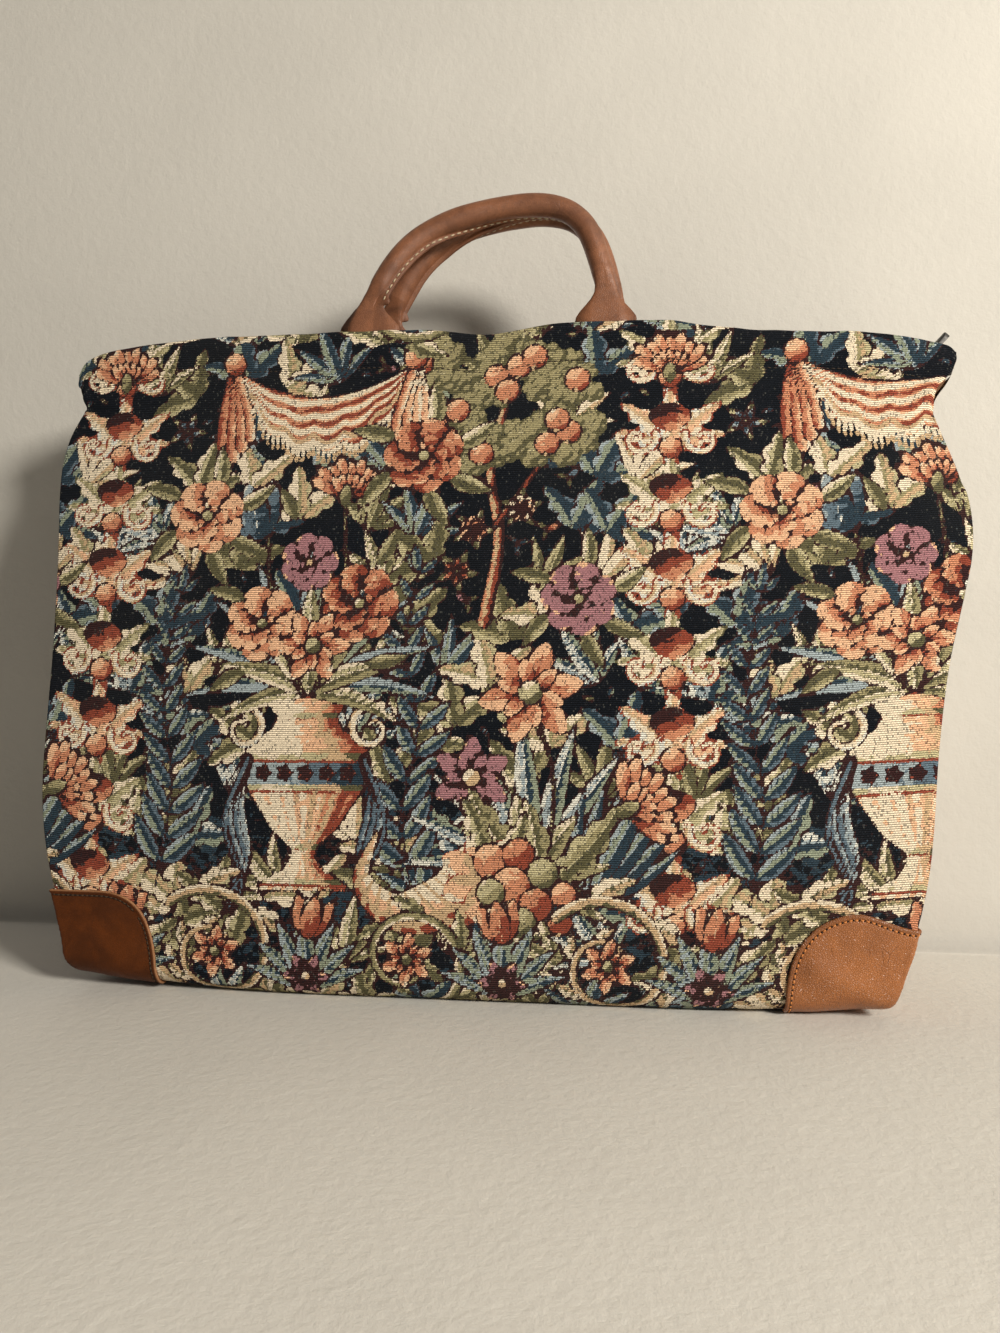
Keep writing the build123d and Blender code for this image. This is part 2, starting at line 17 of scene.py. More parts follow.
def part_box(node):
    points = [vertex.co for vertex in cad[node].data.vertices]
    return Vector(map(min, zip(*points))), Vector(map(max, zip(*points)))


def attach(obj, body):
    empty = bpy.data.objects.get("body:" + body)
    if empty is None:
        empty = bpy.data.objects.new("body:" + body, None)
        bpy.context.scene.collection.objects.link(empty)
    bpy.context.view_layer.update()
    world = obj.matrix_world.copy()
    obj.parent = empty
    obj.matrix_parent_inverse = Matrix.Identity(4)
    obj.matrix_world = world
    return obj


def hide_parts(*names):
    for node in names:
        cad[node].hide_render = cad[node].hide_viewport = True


bl_info = {
    "name": "Tapestry Carpet Bag",
    "version": (1, 0, 0),
    "blender": (4, 5, 0),
    "location": "3D View > Sidebar > Carpet Bag",
    "description": "Builds a tapestry carpet bag with leather trim round its packed frame",
    "category": "Object",
}

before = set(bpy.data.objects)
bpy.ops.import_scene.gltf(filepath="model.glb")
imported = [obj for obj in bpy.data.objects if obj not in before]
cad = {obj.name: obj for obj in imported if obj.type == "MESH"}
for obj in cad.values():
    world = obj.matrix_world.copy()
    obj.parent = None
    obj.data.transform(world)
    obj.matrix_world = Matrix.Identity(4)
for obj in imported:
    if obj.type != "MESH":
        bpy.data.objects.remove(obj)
MM = 0.001
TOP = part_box("front_panel")[1].z


# Reading the frame


def arrays(name):
    """Corners and triangles of a CAD node."""
    mesh = cad[name].data
    co = np.empty(len(mesh.vertices) * 3)
    mesh.vertices.foreach_get("co", co)
    mesh.calc_loop_triangles()
    tri = np.empty(len(mesh.loop_triangles) * 3, np.int32)
    mesh.loop_triangles.foreach_get("vertices", tri)
    return co.reshape(-1, 3), tri.reshape(-1, 3)


def tree_of(*names):
    """A tree for casting rays at CAD nodes."""
    points, faces, base = [], [], 0
    for name in names:
        co, tri = arrays(name)
        points.extend(map(tuple, co))
        faces.extend(map(tuple, tri + base))
        base += len(co)
    return BVHTree.FromPolygons(points, faces)


def crossings(name, along, read, levels):
    """Least and greatest value of one coordinate where a node crosses each level of another."""
    co, tri = arrays(name)
    pairs = np.concatenate([tri[:, [0, 1]], tri[:, [1, 2]], tri[:, [2, 0]]])
    a, b = co[pairs[:, 0]], co[pairs[:, 1]]
    low, high = [], []
    for level in levels:
        da, db = a[:, along] - level, b[:, along] - level
        hit = (da * db <= 0) & (da != db)
        t = da[hit] / (da[hit] - db[hit])
        value = a[hit, read] + t * (b[hit, read] - a[hit, read])
        low.append(value.min())
        high.append(value.max())
    return np.array(low), np.array(high)


def cast(tree, origins, direction, reach=1.0):
    """Points where rays meet a tree, not numbers where they miss it."""
    out = np.full((len(origins), 3), np.nan)
    for i, origin in enumerate(origins):
        hit = tree.ray_cast(Vector(origin), Vector(direction), reach)[0]
        if hit is not None:
            out[i] = hit
    return out


def waves(seed, count, shortest, longest):
    """A smooth random field of u and v, from about -1 to 1, made of sine waves."""
    rng = np.random.default_rng(seed)
    length = np.exp(rng.uniform(np.log(shortest), np.log(longest), count))
    angle = rng.uniform(0, np.pi, count)
    phase = rng.uniform(0, 2 * np.pi, count)
    gain = length / length.sum()

    def field(u, v):
        total = 0
        for l, a, p, g in zip(length, angle, phase, gain):
            total = total + g * np.sin(2 * np.pi * (u * np.cos(a) + v * np.sin(a)) / l + p)
        return total * 1.6

    return field


def bell(x, middle, width):
    return np.exp(-(((x - middle) / width) ** 2))


def unit(vectors):
    """Vectors scaled to a length of one along their last axis."""
    return vectors / (np.linalg.norm(vectors, axis=-1, keepdims=True) + 1e-12)


def run_along(points, axis=0):
    """Length covered up to each point of a line, from 0."""
    steps = np.linalg.norm(np.diff(points, axis=axis), axis=-1)
    start = np.zeros_like(np.take(steps, [0], axis))
    return np.concatenate([start, np.cumsum(steps, axis)], axis)


# Making meshes


def new_mesh(name, points, faces, look):
    """A smooth-shaded object with its corners in place and one material."""
    mesh = bpy.data.meshes.new(name)
    mesh.from_pydata(np.asarray(points).tolist(), [], getattr(faces, "tolist", lambda: faces)())
    mesh.validate()
    mesh.shade_smooth()
    mesh.materials.append(look)
    obj = bpy.data.objects.new(name, mesh)
    bpy.context.scene.collection.objects.link(obj)
    return obj


def grid_faces(rows, columns, flip=False, closed=False):
    """Quads of a grid whose points run along its rows."""
    last = columns if closed else columns - 1
    r, c = np.meshgrid(np.arange(rows - 1), np.arange(last), indexing="ij")
    n = (c + 1) % columns
    quads = [r * columns + c, r * columns + n, (r + 1) * columns + n, (r + 1) * columns + c]
    quads = np.stack(quads, -1).reshape(-1, 4)
    return quads[:, ::-1] if flip else quads


def give(obj, name, values, kind="FLOAT"):
    """An attribute with one value for each corner point."""
    attribute = obj.data.attributes.new(name, kind, "POINT")
    key = {"FLOAT": "value", "FLOAT_VECTOR": "vector", "FLOAT_COLOR": "color"}[kind]
    attribute.data.foreach_set(key, np.asarray(values, np.float32).ravel())


def give_uv(obj, u, v):
    """A bake layout from flat coordinates in millimetres, kept inside the unit square."""
    size = max(np.ptp(u), np.ptp(v)) * 1.01
    a, b = (u - u.min()) / size + 0.004, (v - v.min()) / size + 0.004
    layer = obj.data.uv_layers.new(name="OFBake")
    index = np.empty(len(obj.data.loops), np.int32)
    obj.data.loops.foreach_get("vertex_index", index)
    layer.data.foreach_set("uv", np.column_stack([a[index], b[index]]).astype(np.float32).ravel())


def select_only(*objects):
    """Selects some objects and makes the first of them active."""
    for obj in bpy.context.selected_objects:
        obj.select_set(False)
    for obj in objects:
        obj.select_set(True)
    bpy.context.view_layer.objects.active = objects[0]


# Yarns of the tapestry, as linear colours


YARNS = [
    (0.007, 0.009, 0.013),  # 0 ground, near-black navy
    (0.028, 0.049, 0.068),  # 1 navy
    (0.125, 0.175, 0.215),  # 2 slate blue
    (0.370, 0.430, 0.440),  # 3 light grey-blue
    (0.300, 0.335, 0.240),  # 4 sage
    (0.120, 0.108, 0.054),  # 5 dark olive
    (0.360, 0.310, 0.160),  # 6 khaki
    (0.560, 0.490, 0.280),  # 7 light khaki
    (0.880, 0.740, 0.540),  # 8 cream
    (0.640, 0.440, 0.250),  # 9 gold beige
    (0.640, 0.265, 0.145),  # 10 salmon
    (0.880, 0.520, 0.310),  # 11 light peach
    (0.290, 0.065, 0.038),  # 12 brick
    (0.400, 0.190, 0.205),  # 13 dusty rose
    (0.042, 0.017, 0.017),  # 14 plum brown
    (0.760, 0.740, 0.640),  # 15 grey white
]
GROUND, NAVY, SLATE, BLUE, SAGE, OLIVE, KHAKI, LIME = range(8)
CREAM, GOLD, SALMON, PEACH, BRICK, ROSE, PLUM, WHITE = range(8, 16)

# Tones that belong together, from dark to light
CORALS = [BRICK, SALMON, PEACH, CREAM]
PEACHES = [BRICK, SALMON, PEACH, PEACH]
EMBERS = [PLUM, BRICK, SALMON, PEACH]
MAUVES = [PLUM, ROSE, ROSE, PEACH]
SKIES = [NAVY, SLATE, BLUE, WHITE]
IVORIES = [GOLD, CREAM, WHITE]
HEARTS = [OLIVE, LIME]
STEMS = [OLIVE, KHAKI]
CUPS = [OLIVE, KHAKI, LIME]
BARK = [PLUM, BRICK, GOLD]
# The light and the dark side of a leaf
SAGES = ([NAVY, SAGE, SAGE, BLUE], [NAVY, NAVY, SLATE])
KHAKIS = (CUPS, [OLIVE, OLIVE, KHAKI])
LIMES = ([KHAKI, LIME, CREAM], STEMS)
TEALS = ([SAGE, BLUE, WHITE], [NAVY, SAGE])
MISTS = ([SAGE, SAGE, BLUE], [NAVY, SAGE])
PALES = ([GOLD, CREAM, CREAM], [KHAKI, GOLD, LIME])

STEP = 0.5  # size of a drawing cell, mm
REPEAT_X, REPEAT_Y = 350.0, 420.0  # size of the repeat, mm
UP = np.pi / 2


class Cloth:
    """A repeat of woven pattern, drawn as yarn numbers on a fine grid."""

    def __init__(self):
        rng = np.random.default_rng(7)
        self.nx, self.ny = int(REPEAT_X / STEP), int(REPEAT_Y / STEP)
        self.yarn = np.zeros((self.ny, self.nx), np.int8)
        rows = np.repeat(rng.random((self.ny // 2, self.nx // 6 + 2)), 2, 0)
        at = np.arange(self.nx) / 6.0
        i = at.astype(int)
        w = at - i
        # Comb-like shading across the weft
        self.hatch = rows[:, i] * (1 - w) + rows[:, i + 1] * w - 0.5

    def window(self, x0, x1, y0, y1):
        """Places of the cells in a box, and their index in the repeat."""
        ix = np.arange(int(np.floor(x0 / STEP)), int(np.ceil(x1 / STEP)) + 1)
        iy = np.arange(int(np.floor(y0 / STEP)), int(np.ceil(y1 / STEP)) + 1)
        X, Y = np.meshgrid((ix + 0.5) * STEP, (iy + 0.5) * STEP)
        return X, Y, np.ix_(iy % self.ny, ix % self.nx)

    def turned(self, x, y, angle, length, reach):
        """Cells round a form, their share of its length and their distance across it in mm."""
        X, Y, cells = self.window(x - reach, x + reach, y - reach, y + reach)
        ca, sa = np.cos(angle), np.sin(angle)
        return cells, ((X - x) * ca + (Y - y) * sa) / length, -(X - x) * sa + (Y - y) * ca

    def put(self, cells, mask, values):
        part = self.yarn[cells]
        part[mask] = values[mask] if isinstance(values, np.ndarray) else values
        self.yarn[cells] = part

    def tone(self, cells, value, tones):
        """Yarns from dark to light for values from 0 to 1, with the tones' edges combed."""
        v = value + self.hatch[cells] * 0.32
        k = np.clip((v * len(tones)).astype(int), 0, len(tones) - 1)
        return np.asarray(tones, np.int8)[k]

    # Single forms

    def disc(self, x, y, r, tones, outline=PLUM, rim=1.1):
        X, Y, c = self.window(x - r - 2, x + r + 2, y - r - 2, y + r + 2)
        d = np.hypot(X - x, Y - y)
        self.put(c, d < r, outline)
        light = 0.5 + 0.5 * ((Y - y) * 0.75 - (X - x) * 0.5) / r
        light -= 0.25 * (d / r) ** 3
        self.put(c, d < r - rim, self.tone(c, light, tones))

    def petal(self, x, y, angle, length, width, tones, outline=PLUM, tip=1.0, vein=None, notch=0.0):
        """A petal from its base at x, y; tones run from its base to its tip."""
        c, t, n = self.turned(x, y, angle, length, length + width)
        tc = np.clip(t, 0, 1)
        half = width / 2 * np.sin(np.pi * tc**tip) ** 0.75
        half *= 1 - notch * (tc > 0.8) * (np.abs(n) < width * 0.1)
        core = (np.abs(n) < half - 1.0) & (t > 0.03) & (t < 1 - 1.0 / length)
        self.put(c, (np.abs(n) < half) & (t > 0) & (t < 1), outline)
        self.put(c, core, self.tone(c, t * 0.75 + 0.25 * (n / (half + 0.01)), tones))
        if vein is not None:
            self.put(c, core & (np.abs(n) < 0.45) & (t < 0.8), vein)

    def leaf(self, x, y, angle, length, width, light, dark, outline=PLUM, bend=0.25, lobes=0, vein=None):
        """A leaf that bends to one side, light on one side of its midrib."""
        c, t, n = self.turned(x, y, angle, length, length * 1.15 + width)
        n = n - bend * length * t * t
        tc = np.clip(t, 0, 1)
        half = width / 2 * np.sin(np.pi * tc**0.8) ** 0.8
        if lobes:
            half *= 0.62 + 0.38 * np.abs(np.sin(np.pi * lobes * (tc - 0.1 * np.abs(n) / width)))
        inside = (np.abs(n) < half) & (t > 0) & (t < 1)
        core = (np.abs(n) < half - 0.9) & (t < 1 - 0.9 / length)
        self.put(c, inside, outline)
        off = np.abs(n) / (half + 0.01)
        self.put(c, core & (n > 0), self.tone(c, 0.35 + 0.65 * off, light))
        self.put(c, core & (n <= 0), self.tone(c, 0.3 + 0.6 * off, dark))
        ribs = np.abs(((t * length - np.abs(n) * 0.9) / 4.2) % 1 - 0.5) < 0.13
        self.put(c, core & ribs & (np.abs(n) < half * 0.8), dark[0])
        if vein is not None:
            self.put(c, inside & (np.abs(n) < 0.5) & (t < 0.93), vein)

    def leaves(self, x, y, turns, length, width, kind, **more):
        """Leaves that spread from one point."""
        for turn in turns:
            self.leaf(x, y, turn, length, width, *kind, **more)

    def stroke(self, points, width, tones, outline=PLUM, rim=0.9, taper=0.0, stripe=None):
        """A band along a curve, with its tones across it from right to left."""
        p = np.asarray(points, float)
        w = np.full(len(p), width) if np.isscalar(width) else np.asarray(width, float)
        w = w * (1 - taper * np.linspace(0, 1, len(p)))
        (x0, y0), (x1, y1), m = p.min(0), p.max(0), w.max() / 2 + 2
        X, Y, c = self.window(x0 - m, x1 + m, y0 - m, y1 + m)
        best = np.full(X.shape, 1e9)
        across, half, along = np.zeros((3, *X.shape))
        run = 0.0
        for a, b, wa, wb in zip(p, p[1:], w, w[1:]):
            d = b - a
            size = np.hypot(*d) + 1e-9
            d = d / size
            t = np.clip((X - a[0]) * d[0] + (Y - a[1]) * d[1], 0, size)
            ex, ey = X - a[0] - t * d[0], Y - a[1] - t * d[1]
            q = np.hypot(ex, ey)
            closer = q < best
            best = np.where(closer, q, best)
            across = np.where(closer, -ex * d[1] + ey * d[0], across)
            half = np.where(closer, (wa + (wb - wa) * t / size) / 2, half)
            along = np.where(closer, run + t, along)
            run += size
        self.put(c, best < half, outline)
        shade = self.tone(c, 0.5 + 0.5 * across / (half + 0.01), tones)
        if stripe:
            pitch, yarn = stripe
            shade = np.where(((along + across * 0.6) / pitch) % 1 < 0.28, yarn, shade)
        self.put(c, best < half - rim, shade)

    # Motifs made of several forms

    def daisy(self, x, y, r, petals, tones, heart, phase=0.0):
        for scale, turn in ((1.0, 0.0), (0.66, 0.5)):
            for i in range(petals):
                a = phase + 2 * np.pi * (i + turn) / petals
                self.petal(x, y, a, r * scale, r * scale * 1.9 / petals * 1.55, tones, PLUM, 1.25, tones[0])
        self.disc(x, y, r * 0.24, heart)

    def rose(self, x, y, r, tones, heart, phase=0.0):
        for ring, scale in enumerate((1.0, 0.8, 0.58, 0.36)):
            for i in range(7 - ring):
                a = phase + 2 * np.pi * (i + 0.5 * (ring % 2)) / (7 - ring) + 0.4 * ring
                size = r * scale
                px = x + np.cos(a) * size * 0.62 - np.cos(a) * size * 0.4
                py = y + np.sin(a) * size * 0.62 - np.sin(a) * size * 0.4
                self.petal(px, py, a, size * 0.78, size * 0.78, tones, PLUM, 1.6)
        self.disc(x, y, r * 0.17, heart)

    def tulip(self, x, y, angle, size, tones, inner):
        for turn, long, wide, kind, tip in ((0.42, 0.95, 0.42, tones, 0.85), (0.2, 0.85, 0.3, inner, 0.9)):
            for side in (1, -1):
                self.petal(x, y, angle + side * turn, size * long, size * wide, kind, PLUM, tip)
        self.petal(x, y, angle, size * 0.92, size * 0.44, tones, PLUM, 0.8, tones[-1])

    def carnation(self, x, y, angle, size):
        for i in range(9):
            long = size * (0.95 + 0.1 * (i % 2))
            self.petal(x, y, angle + (i - 4) * 0.27, long, size * 0.3, CORALS, PLUM, 1.5, notch=0.5)
        for i in range(5):
            self.petal(x, y, angle + (i - 2) * 0.3, size * 0.62, size * 0.24, CORALS, PLUM, 1.4)
        px, py = x - np.cos(angle) * size * 0.2, y - np.sin(angle) * size * 0.2
        self.petal(px, py, angle, size * 0.55, size * 0.3, CUPS)

    def fruit(self, x, y, r, tones, crown=GOLD):
        self.disc(x, y, r, tones)
        self.disc(x - r * 0.1, y - r * 0.85, r * 0.22, [crown], rim=0.5)

    def foliage(self, x, y, rx, ry, tones, seed):
        """A rounded clump of fifteen small rosettes, the upper ones behind."""
        rng = np.random.default_rng(seed)
        spots = []
        for _ in range(15):
            a = rng.random() * 2 * np.pi
            q = np.sqrt(rng.random())
            size = 8.2 * (0.75 + 0.5 * rng.random())
            spots.append((y + np.sin(a) * ry * q, x + np.cos(a) * rx * q, size, rng.random() * 6.28))
        for sy, sx, s, a in sorted(spots, reverse=True):
            for k in range(5):
                b = a + k * 1.256
                self.disc(sx + np.cos(b) * s * 0.55, sy + np.sin(b) * s * 0.45, s * 0.5, tones, OLIVE, 0.8)
            self.disc(sx, sy, s * 0.5, tones, tones[0], 0.4)

    def fern(self, points, size, light, dark):
        p = np.asarray(points, float)
        n = len(p)
        for i in range(n - 1, 0, -1):
            d = p[i] - p[i - 1]
            a = np.arctan2(d[1], d[0])
            s = size * (1.05 - 0.6 * i / n)
            for k in (1, -1):
                self.leaf(*p[i], a + k * 0.85, s, s * 0.36, light, dark, bend=-0.15 * k)
        self.leaf(*p[-1], a, size * 0.6, size * 0.22, light, dark, bend=0.0)
        self.stroke(p, 1.8, dark, rim=0.5)

    def spray(self, x, y, angle, length, leaves, kind, spread, width, bend=0.3):
        """Long blades that fan out from one point, the middle ones on top."""
        middle = (leaves - 1) / 2
        for i in sorted(range(leaves), key=lambda k: -abs(k - middle)):
            f = (i - middle) / middle
            l = length * (1 - 0.22 * abs(f))
            self.leaf(x, y, angle + f * spread, l, l * width, *kind, bend=bend * f, vein=kind[0][-1])


def curve(*points, n=40):
    """A smooth line through points (Catmull-Rom)."""
    p = np.asarray(points, float)
    p = np.vstack([2 * p[0] - p[1], p, 2 * p[-1] - p[-2]])
    t = np.linspace(0, 1, max(3, n // (len(p) - 3)), endpoint=False)[:, None]
    out = []
    for a, b, c, d in zip(p, p[1:], p[2:], p[3:]):
        square, cube = 2 * a - 5 * b + 4 * c - d, 3 * b - a - 3 * c + d
        out.append(0.5 * (2 * b + (c - a) * t + square * t**2 + cube * t**3))
    return np.vstack(out + [p[-2][None]])


def near(x, y, *steps, n=40):
    """A smooth line through points given from x, y."""
    return curve(*[(x + dx, y + dy) for dx, dy in steps], n=n)


def spiral(x, y, r, start, turns, hand=1, n=44, inner=0.18):
    t = np.linspace(0, 1, n)
    a = start + hand * 2 * np.pi * turns * t
    q = r * (1 - (1 - inner) * t)
    return np.column_stack([x + q * np.cos(a), y + q * np.sin(a)])


def ground(cloth):
    """Dark ground with streaks of plum and navy in its lower part."""
    X, Y, c = cloth.window(0, REPEAT_X - STEP, 0, REPEAT_Y - STEP)
    low = np.clip(1 - np.abs(Y - 70) / 90, 0, 1)
    wave = np.sin(X * 0.045) * np.sin(Y * 0.06 + 1.0) + 0.6 * np.sin(X * 0.11 + Y * 0.05)
    streak = cloth.hatch[c] * 2
    yarn = np.where(streak + low * 1.1 + wave * 0.3 > 1.15, NAVY, GROUND)
    yarn = np.where(streak - low * 1.2 + wave * 0.25 < -1.35, PLUM, yarn)
    cloth.put(c, np.ones(X.shape, bool), yarn.astype(np.int8))


def undergrowth(cloth):
    """Broad leaves and blades that cover most of the ground behind the larger motifs."""
    rng = np.random.default_rng(41)
    kinds = (LIMES, PALES, SAGES, LIMES, TEALS, KHAKIS, SAGES)
    for k in range(11):
        for j in range(13):
            x = (k + 0.5 * (j % 2) + rng.uniform(-0.25, 0.25)) * REPEAT_X / 11
            y = (j + rng.uniform(-0.25, 0.25)) * REPEAT_Y / 13
            if rng.random() < np.interp(y, [0, 250, 400], [0.08, 0.2, 0.42]):
                continue
            kind, turn = kinds[rng.integers(7)], rng.uniform(0.5, 2.6)
            if rng.random() < 0.45:
                cloth.spray(x, y, turn, 44, 5, kind, 0.8, 0.26)
                continue
            for a in (0.75, -0.75, 0.0):
                shape = dict(lobes=3, bend=0.4 * a, vein=kind[1][0])
                cloth.leaf(x, y, turn + a, 38 - 6 * abs(a), 18, *kind, **shape)


def urn(cloth, x, y):
    """A footed urn with a flowered belly and hung with drapery."""
    X, Y, c = cloth.window(x - 50, x + 50, y, y + 122)
    h = (Y - y) / 120.0
    heights = [0.0, 0.03, 0.06, 0.1, 0.17, 0.22, 0.3, 0.5, 0.66, 0.74, 0.79, 0.86, 0.93, 0.97, 1.0]
    half = np.interp(h, heights, [27, 28, 22, 13, 8, 9, 20, 36, 40, 35, 23, 19, 26, 31, 32])
    n = (X - x) / half
    cloth.put(c, (np.abs(n) < 1) & (h > 0) & (h < 1), PLUM)
    core = (np.abs(X - x) < half - 1.2) & (h > 0.008) & (h < 0.992)
    light = 0.62 - 0.55 * n * 0.8 - 0.35 * np.abs(n) ** 3
    flutes = 0.16 * np.cos(n * 22) * (h < 0.5)
    cloth.put(c, core, cloth.tone(c, light + flutes, [BRICK, SALMON, GOLD, PEACH, CREAM, CREAM]))
    for lo, hi in ((0.03, 0.06), (0.2, 0.235), (0.49, 0.52), (0.64, 0.68), (0.85, 0.88), (0.955, 0.985)):
        cloth.put(c, core & (h > lo) & (h < hi), cloth.tone(c, light, [OLIVE, GOLD, LIME, CREAM]))
        cloth.put(c, core & (np.abs(h - lo) < 0.006), BRICK)
    cloth.put(c, core & (h > 0.525) & (h < 0.635), cloth.tone(c, light, SKIES[:3]))
    for k in (-26, -13, 0, 13, 26):
        cloth.daisy(x + k, y + 0.58 * 120, 6.2, 5, CORALS[:3], [LIME, CREAM])
    for side in (-1, 1):
        curl = spiral(x + side * 40, y + 96, 15, UP - side * 0.4, 1.2, side)
        cloth.stroke(curl, 6.5, IVORIES, taper=0.5)
        for k in range(4):
            drops = ((36, 78), (40 + 3 * k, 52 - 4 * k), (34 + k, 20 - 5 * k), (42 + 2 * k, 4 - 6 * k))
            drape = near(x, y, *[(side * dx, dy) for dx, dy in drops])
            cloth.stroke(drape, 7.5 - k, SKIES if k % 2 == 0 else SKIES[:3], taper=0.35)


def bouquet(cloth, x, y):
    """Blades, tulips and roses that rise from an urn's mouth."""
    cloth.spray(x, y - 4, UP, 96, 9, ([SAGE, BLUE, BLUE], [NAVY, SAGE]), 1.15, 0.16, 0.5)
    cloth.spray(x, y - 4, UP, 70, 7, LIMES, 1.35, 0.24, 0.6)
    cloth.stroke(near(x, y, (-6, 0), (-24, 50), (-30, 104)), 3, STEMS)
    cloth.stroke(near(x, y, (5, 0), (20, 60), (18, 118)), 3, STEMS)
    cloth.tulip(x - 34, y + 92, UP + 0.3, 44, SKIES, [BRICK, ROSE, SALMON])
    cloth.carnation(x + 18, y + 118, UP - 0.1, 30)
    cloth.rose(x - 30, y + 40, 24, PEACHES, HEARTS)
    cloth.rose(x + 30, y + 52, 25, EMBERS, [KHAKI, CREAM])
    cloth.daisy(x + 2, y + 26, 24, 6, CORALS, HEARTS)
    cloth.rose(x - 2, y + 78, 19, MAUVES, [GOLD, CREAM])
    for dx, dy in ((-52, 62), (50, 84), (-16, 112), (44, 24), (-50, 18)):
        cloth.leaf(x + dx * 0.8, y + dy - 8, np.arctan2(dy - 30, dx), 26, 11, *KHAKIS, bend=0.3)


def fruit_tree(cloth, x, y):
    """A young tree with round fruit in rounded clumps of leaves."""
    trunk = near(x, y, (-6, 0), (2, 50), (-4, 96), (6, 150))
    cloth.stroke(trunk, 8.5, [*BARK, SALMON], taper=0.4)
    cloth.stroke(near(x, y, (0, 60), (22, 92), (36, 112)), 4.5, BARK, taper=0.4)
    cloth.stroke(near(x, y, (-2, 80), (-24, 104), (-34, 132)), 4.5, BARK, taper=0.4)
    for dx, dy, rx, ry, seed in (
        (-34, 134, 26, 17, 11), (34, 120, 26, 18, 12), (4, 162, 32, 20, 13),
        (-8, 110, 18, 11, 14), (44, 156, 20, 14, 15), (-46, 168, 18, 14, 16),
    ):
        cloth.foliage(x + dx, y + dy, rx, ry, [OLIVE, KHAKI, KHAKI, LIME], seed)
    for dx, dy in (
        (-40, 128), (-26, 136), (-33, 118), (30, 112), (43, 120), (36, 128), (-2, 158),
        (12, 164), (5, 148), (48, 154), (-50, 168), (-10, 106), (22, 170),
    ):
        cloth.fruit(x + dx, y + dy, 8.3, [BRICK, SALMON, SALMON, PEACH, CREAM])


def lily_bank(cloth, x, y):
    """Large open flowers over a bank of blades and broad leaves."""
    cloth.spray(x, y, UP + 0.1, 104, 9, TEALS, 1.0, 0.15, 0.35)
    cloth.spray(x + 30, y - 6, UP - 0.5, 78, 7, (MISTS[0], [NAVY, NAVY]), 0.9, 0.17, -0.4)
    cloth.spray(x - 6, y - 4, UP + 0.1, 60, 7, LIMES, 1.5, 0.3, 0.55)
    for stem in (((4, 0), (10, 60), (-4, 108)), ((0, 0), (-22, 34), (-34, 62)), ((6, 0), (34, 30), (50, 46))):
        cloth.stroke(near(x, y, *stem), 3, HEARTS)
    cloth.daisy(x - 4, y + 112, 32, 6, PEACHES, [OLIVE, LIME, CREAM], 0.2)
    cloth.daisy(x - 38, y + 62, 25, 6, MAUVES, [GOLD, CREAM], 0.5)
    cloth.carnation(x + 50, y + 44, 0.5, 33)
    cloth.leaf(x - 2, y + 6, 2.5, 62, 24, *LIMES, lobes=4, bend=-0.3, vein=CREAM)
    cloth.leaf(x + 8, y + 4, 0.55, 58, 22, *KHAKIS, lobes=4, bend=0.3, vein=LIME)
    cloth.leaf(x + 2, y + 2, 1.6, 50, 20, *LIMES, lobes=3, bend=0.15, vein=CREAM)


def candelabrum(cloth, x, y, top):
    """A tall ornament of stacked acanthus leaves, cups and knots on one stem."""
    cloth.stroke([(x, y), (x, top)], 9, [BRICK, *IVORIES], BRICK)
    warm = True
    for h in range(y, top - 26, 47):
        light = [GOLD, CREAM, CREAM, WHITE] if warm else [LIME, CREAM, CREAM]
        dark = [GOLD, PEACH, CREAM] if warm else LIMES[0]
        for turn, length, width, bend in (
            (2.55, 34, 17, 0.32), (0.59, 34, 17, -0.32), (2.05, 42, 19, 0.32),
            (1.09, 42, 19, -0.32), (1.57, 40, 22, 0.0),
        ):
            edge = BRICK if warm else OLIVE
            cloth.leaf(x, h, turn, length, width, light, dark, edge, bend, 4, dark[0])
        cloth.petal(x, h + 30, -UP, 20, 26, EMBERS, PLUM, 0.8)
        for side in (-1, 1):
            curl = spiral(x + side * 19, h + 6, 11, UP + side * 1.2, 1.0, side, n=24)
            cloth.stroke(curl, 5.5, IVORIES, BRICK, taper=0.4)
        cloth.disc(x, h, 7.5, CORALS)
        warm = not warm
    cloth.carnation(x, top - 30, UP, 30)


def swag(cloth, x, y, width, depth, tones, lining):
    """A length of cloth hung from two knots, with a fringe along its foot."""
    X, Y, c = cloth.window(x - width / 2 - 14, x + width / 2 + 14, y - depth * 1.7, y + 16)
    t = (X - x) / (width / 2)
    upper = y - depth * 0.42 * (1 - t**2)
    lower = y - depth * (1 - np.abs(t) ** 2.6) - 6 * np.abs(np.sin(X * 0.16))
    cloth.put(c, (np.abs(t) < 1) & (Y < upper + 2) & (Y > lower), PLUM)
    q = (upper - Y) / (upper - lower + 0.01)
    folds = q * 5 * np.pi * 2 * (0.72 + 0.28 * t * t) + 1.5 * np.sin(t * 2.2)
    core = (np.abs(t) < 0.985) & (Y < upper + 0.8) & (Y > lower + 1.2)
    cloth.put(c, core, cloth.tone(c, 0.55 + 0.42 * np.sin(folds) - 0.12 * t, tones))
    cloth.put(c, core & (Y < lower + 8) & (Y > lower + 5.4), lining[0])
    fringe = (np.abs(t) < 0.97) & (Y < lower + 1) & (Y > lower - 8) & ((X / 3.4) % 1 < 0.6)
    cloth.put(c, fringe, cloth.tone(c, (Y - lower + 8) / 9, lining))
    for side in (-1, 1):
        knot = x + side * width / 2
        for k in range(4):
            middle, low = (5 - 5 * k, -depth * 0.6), (3 - 5 * k, -depth * (1.25 - 0.12 * k))
            path = near(knot, y, (0, 2), *[(side * dx, dy) for dx, dy in (middle, low)])
            cloth.stroke(path, 9 - k, tones, taper=-0.35)
        cloth.disc(knot, y + 4, 8, tones)


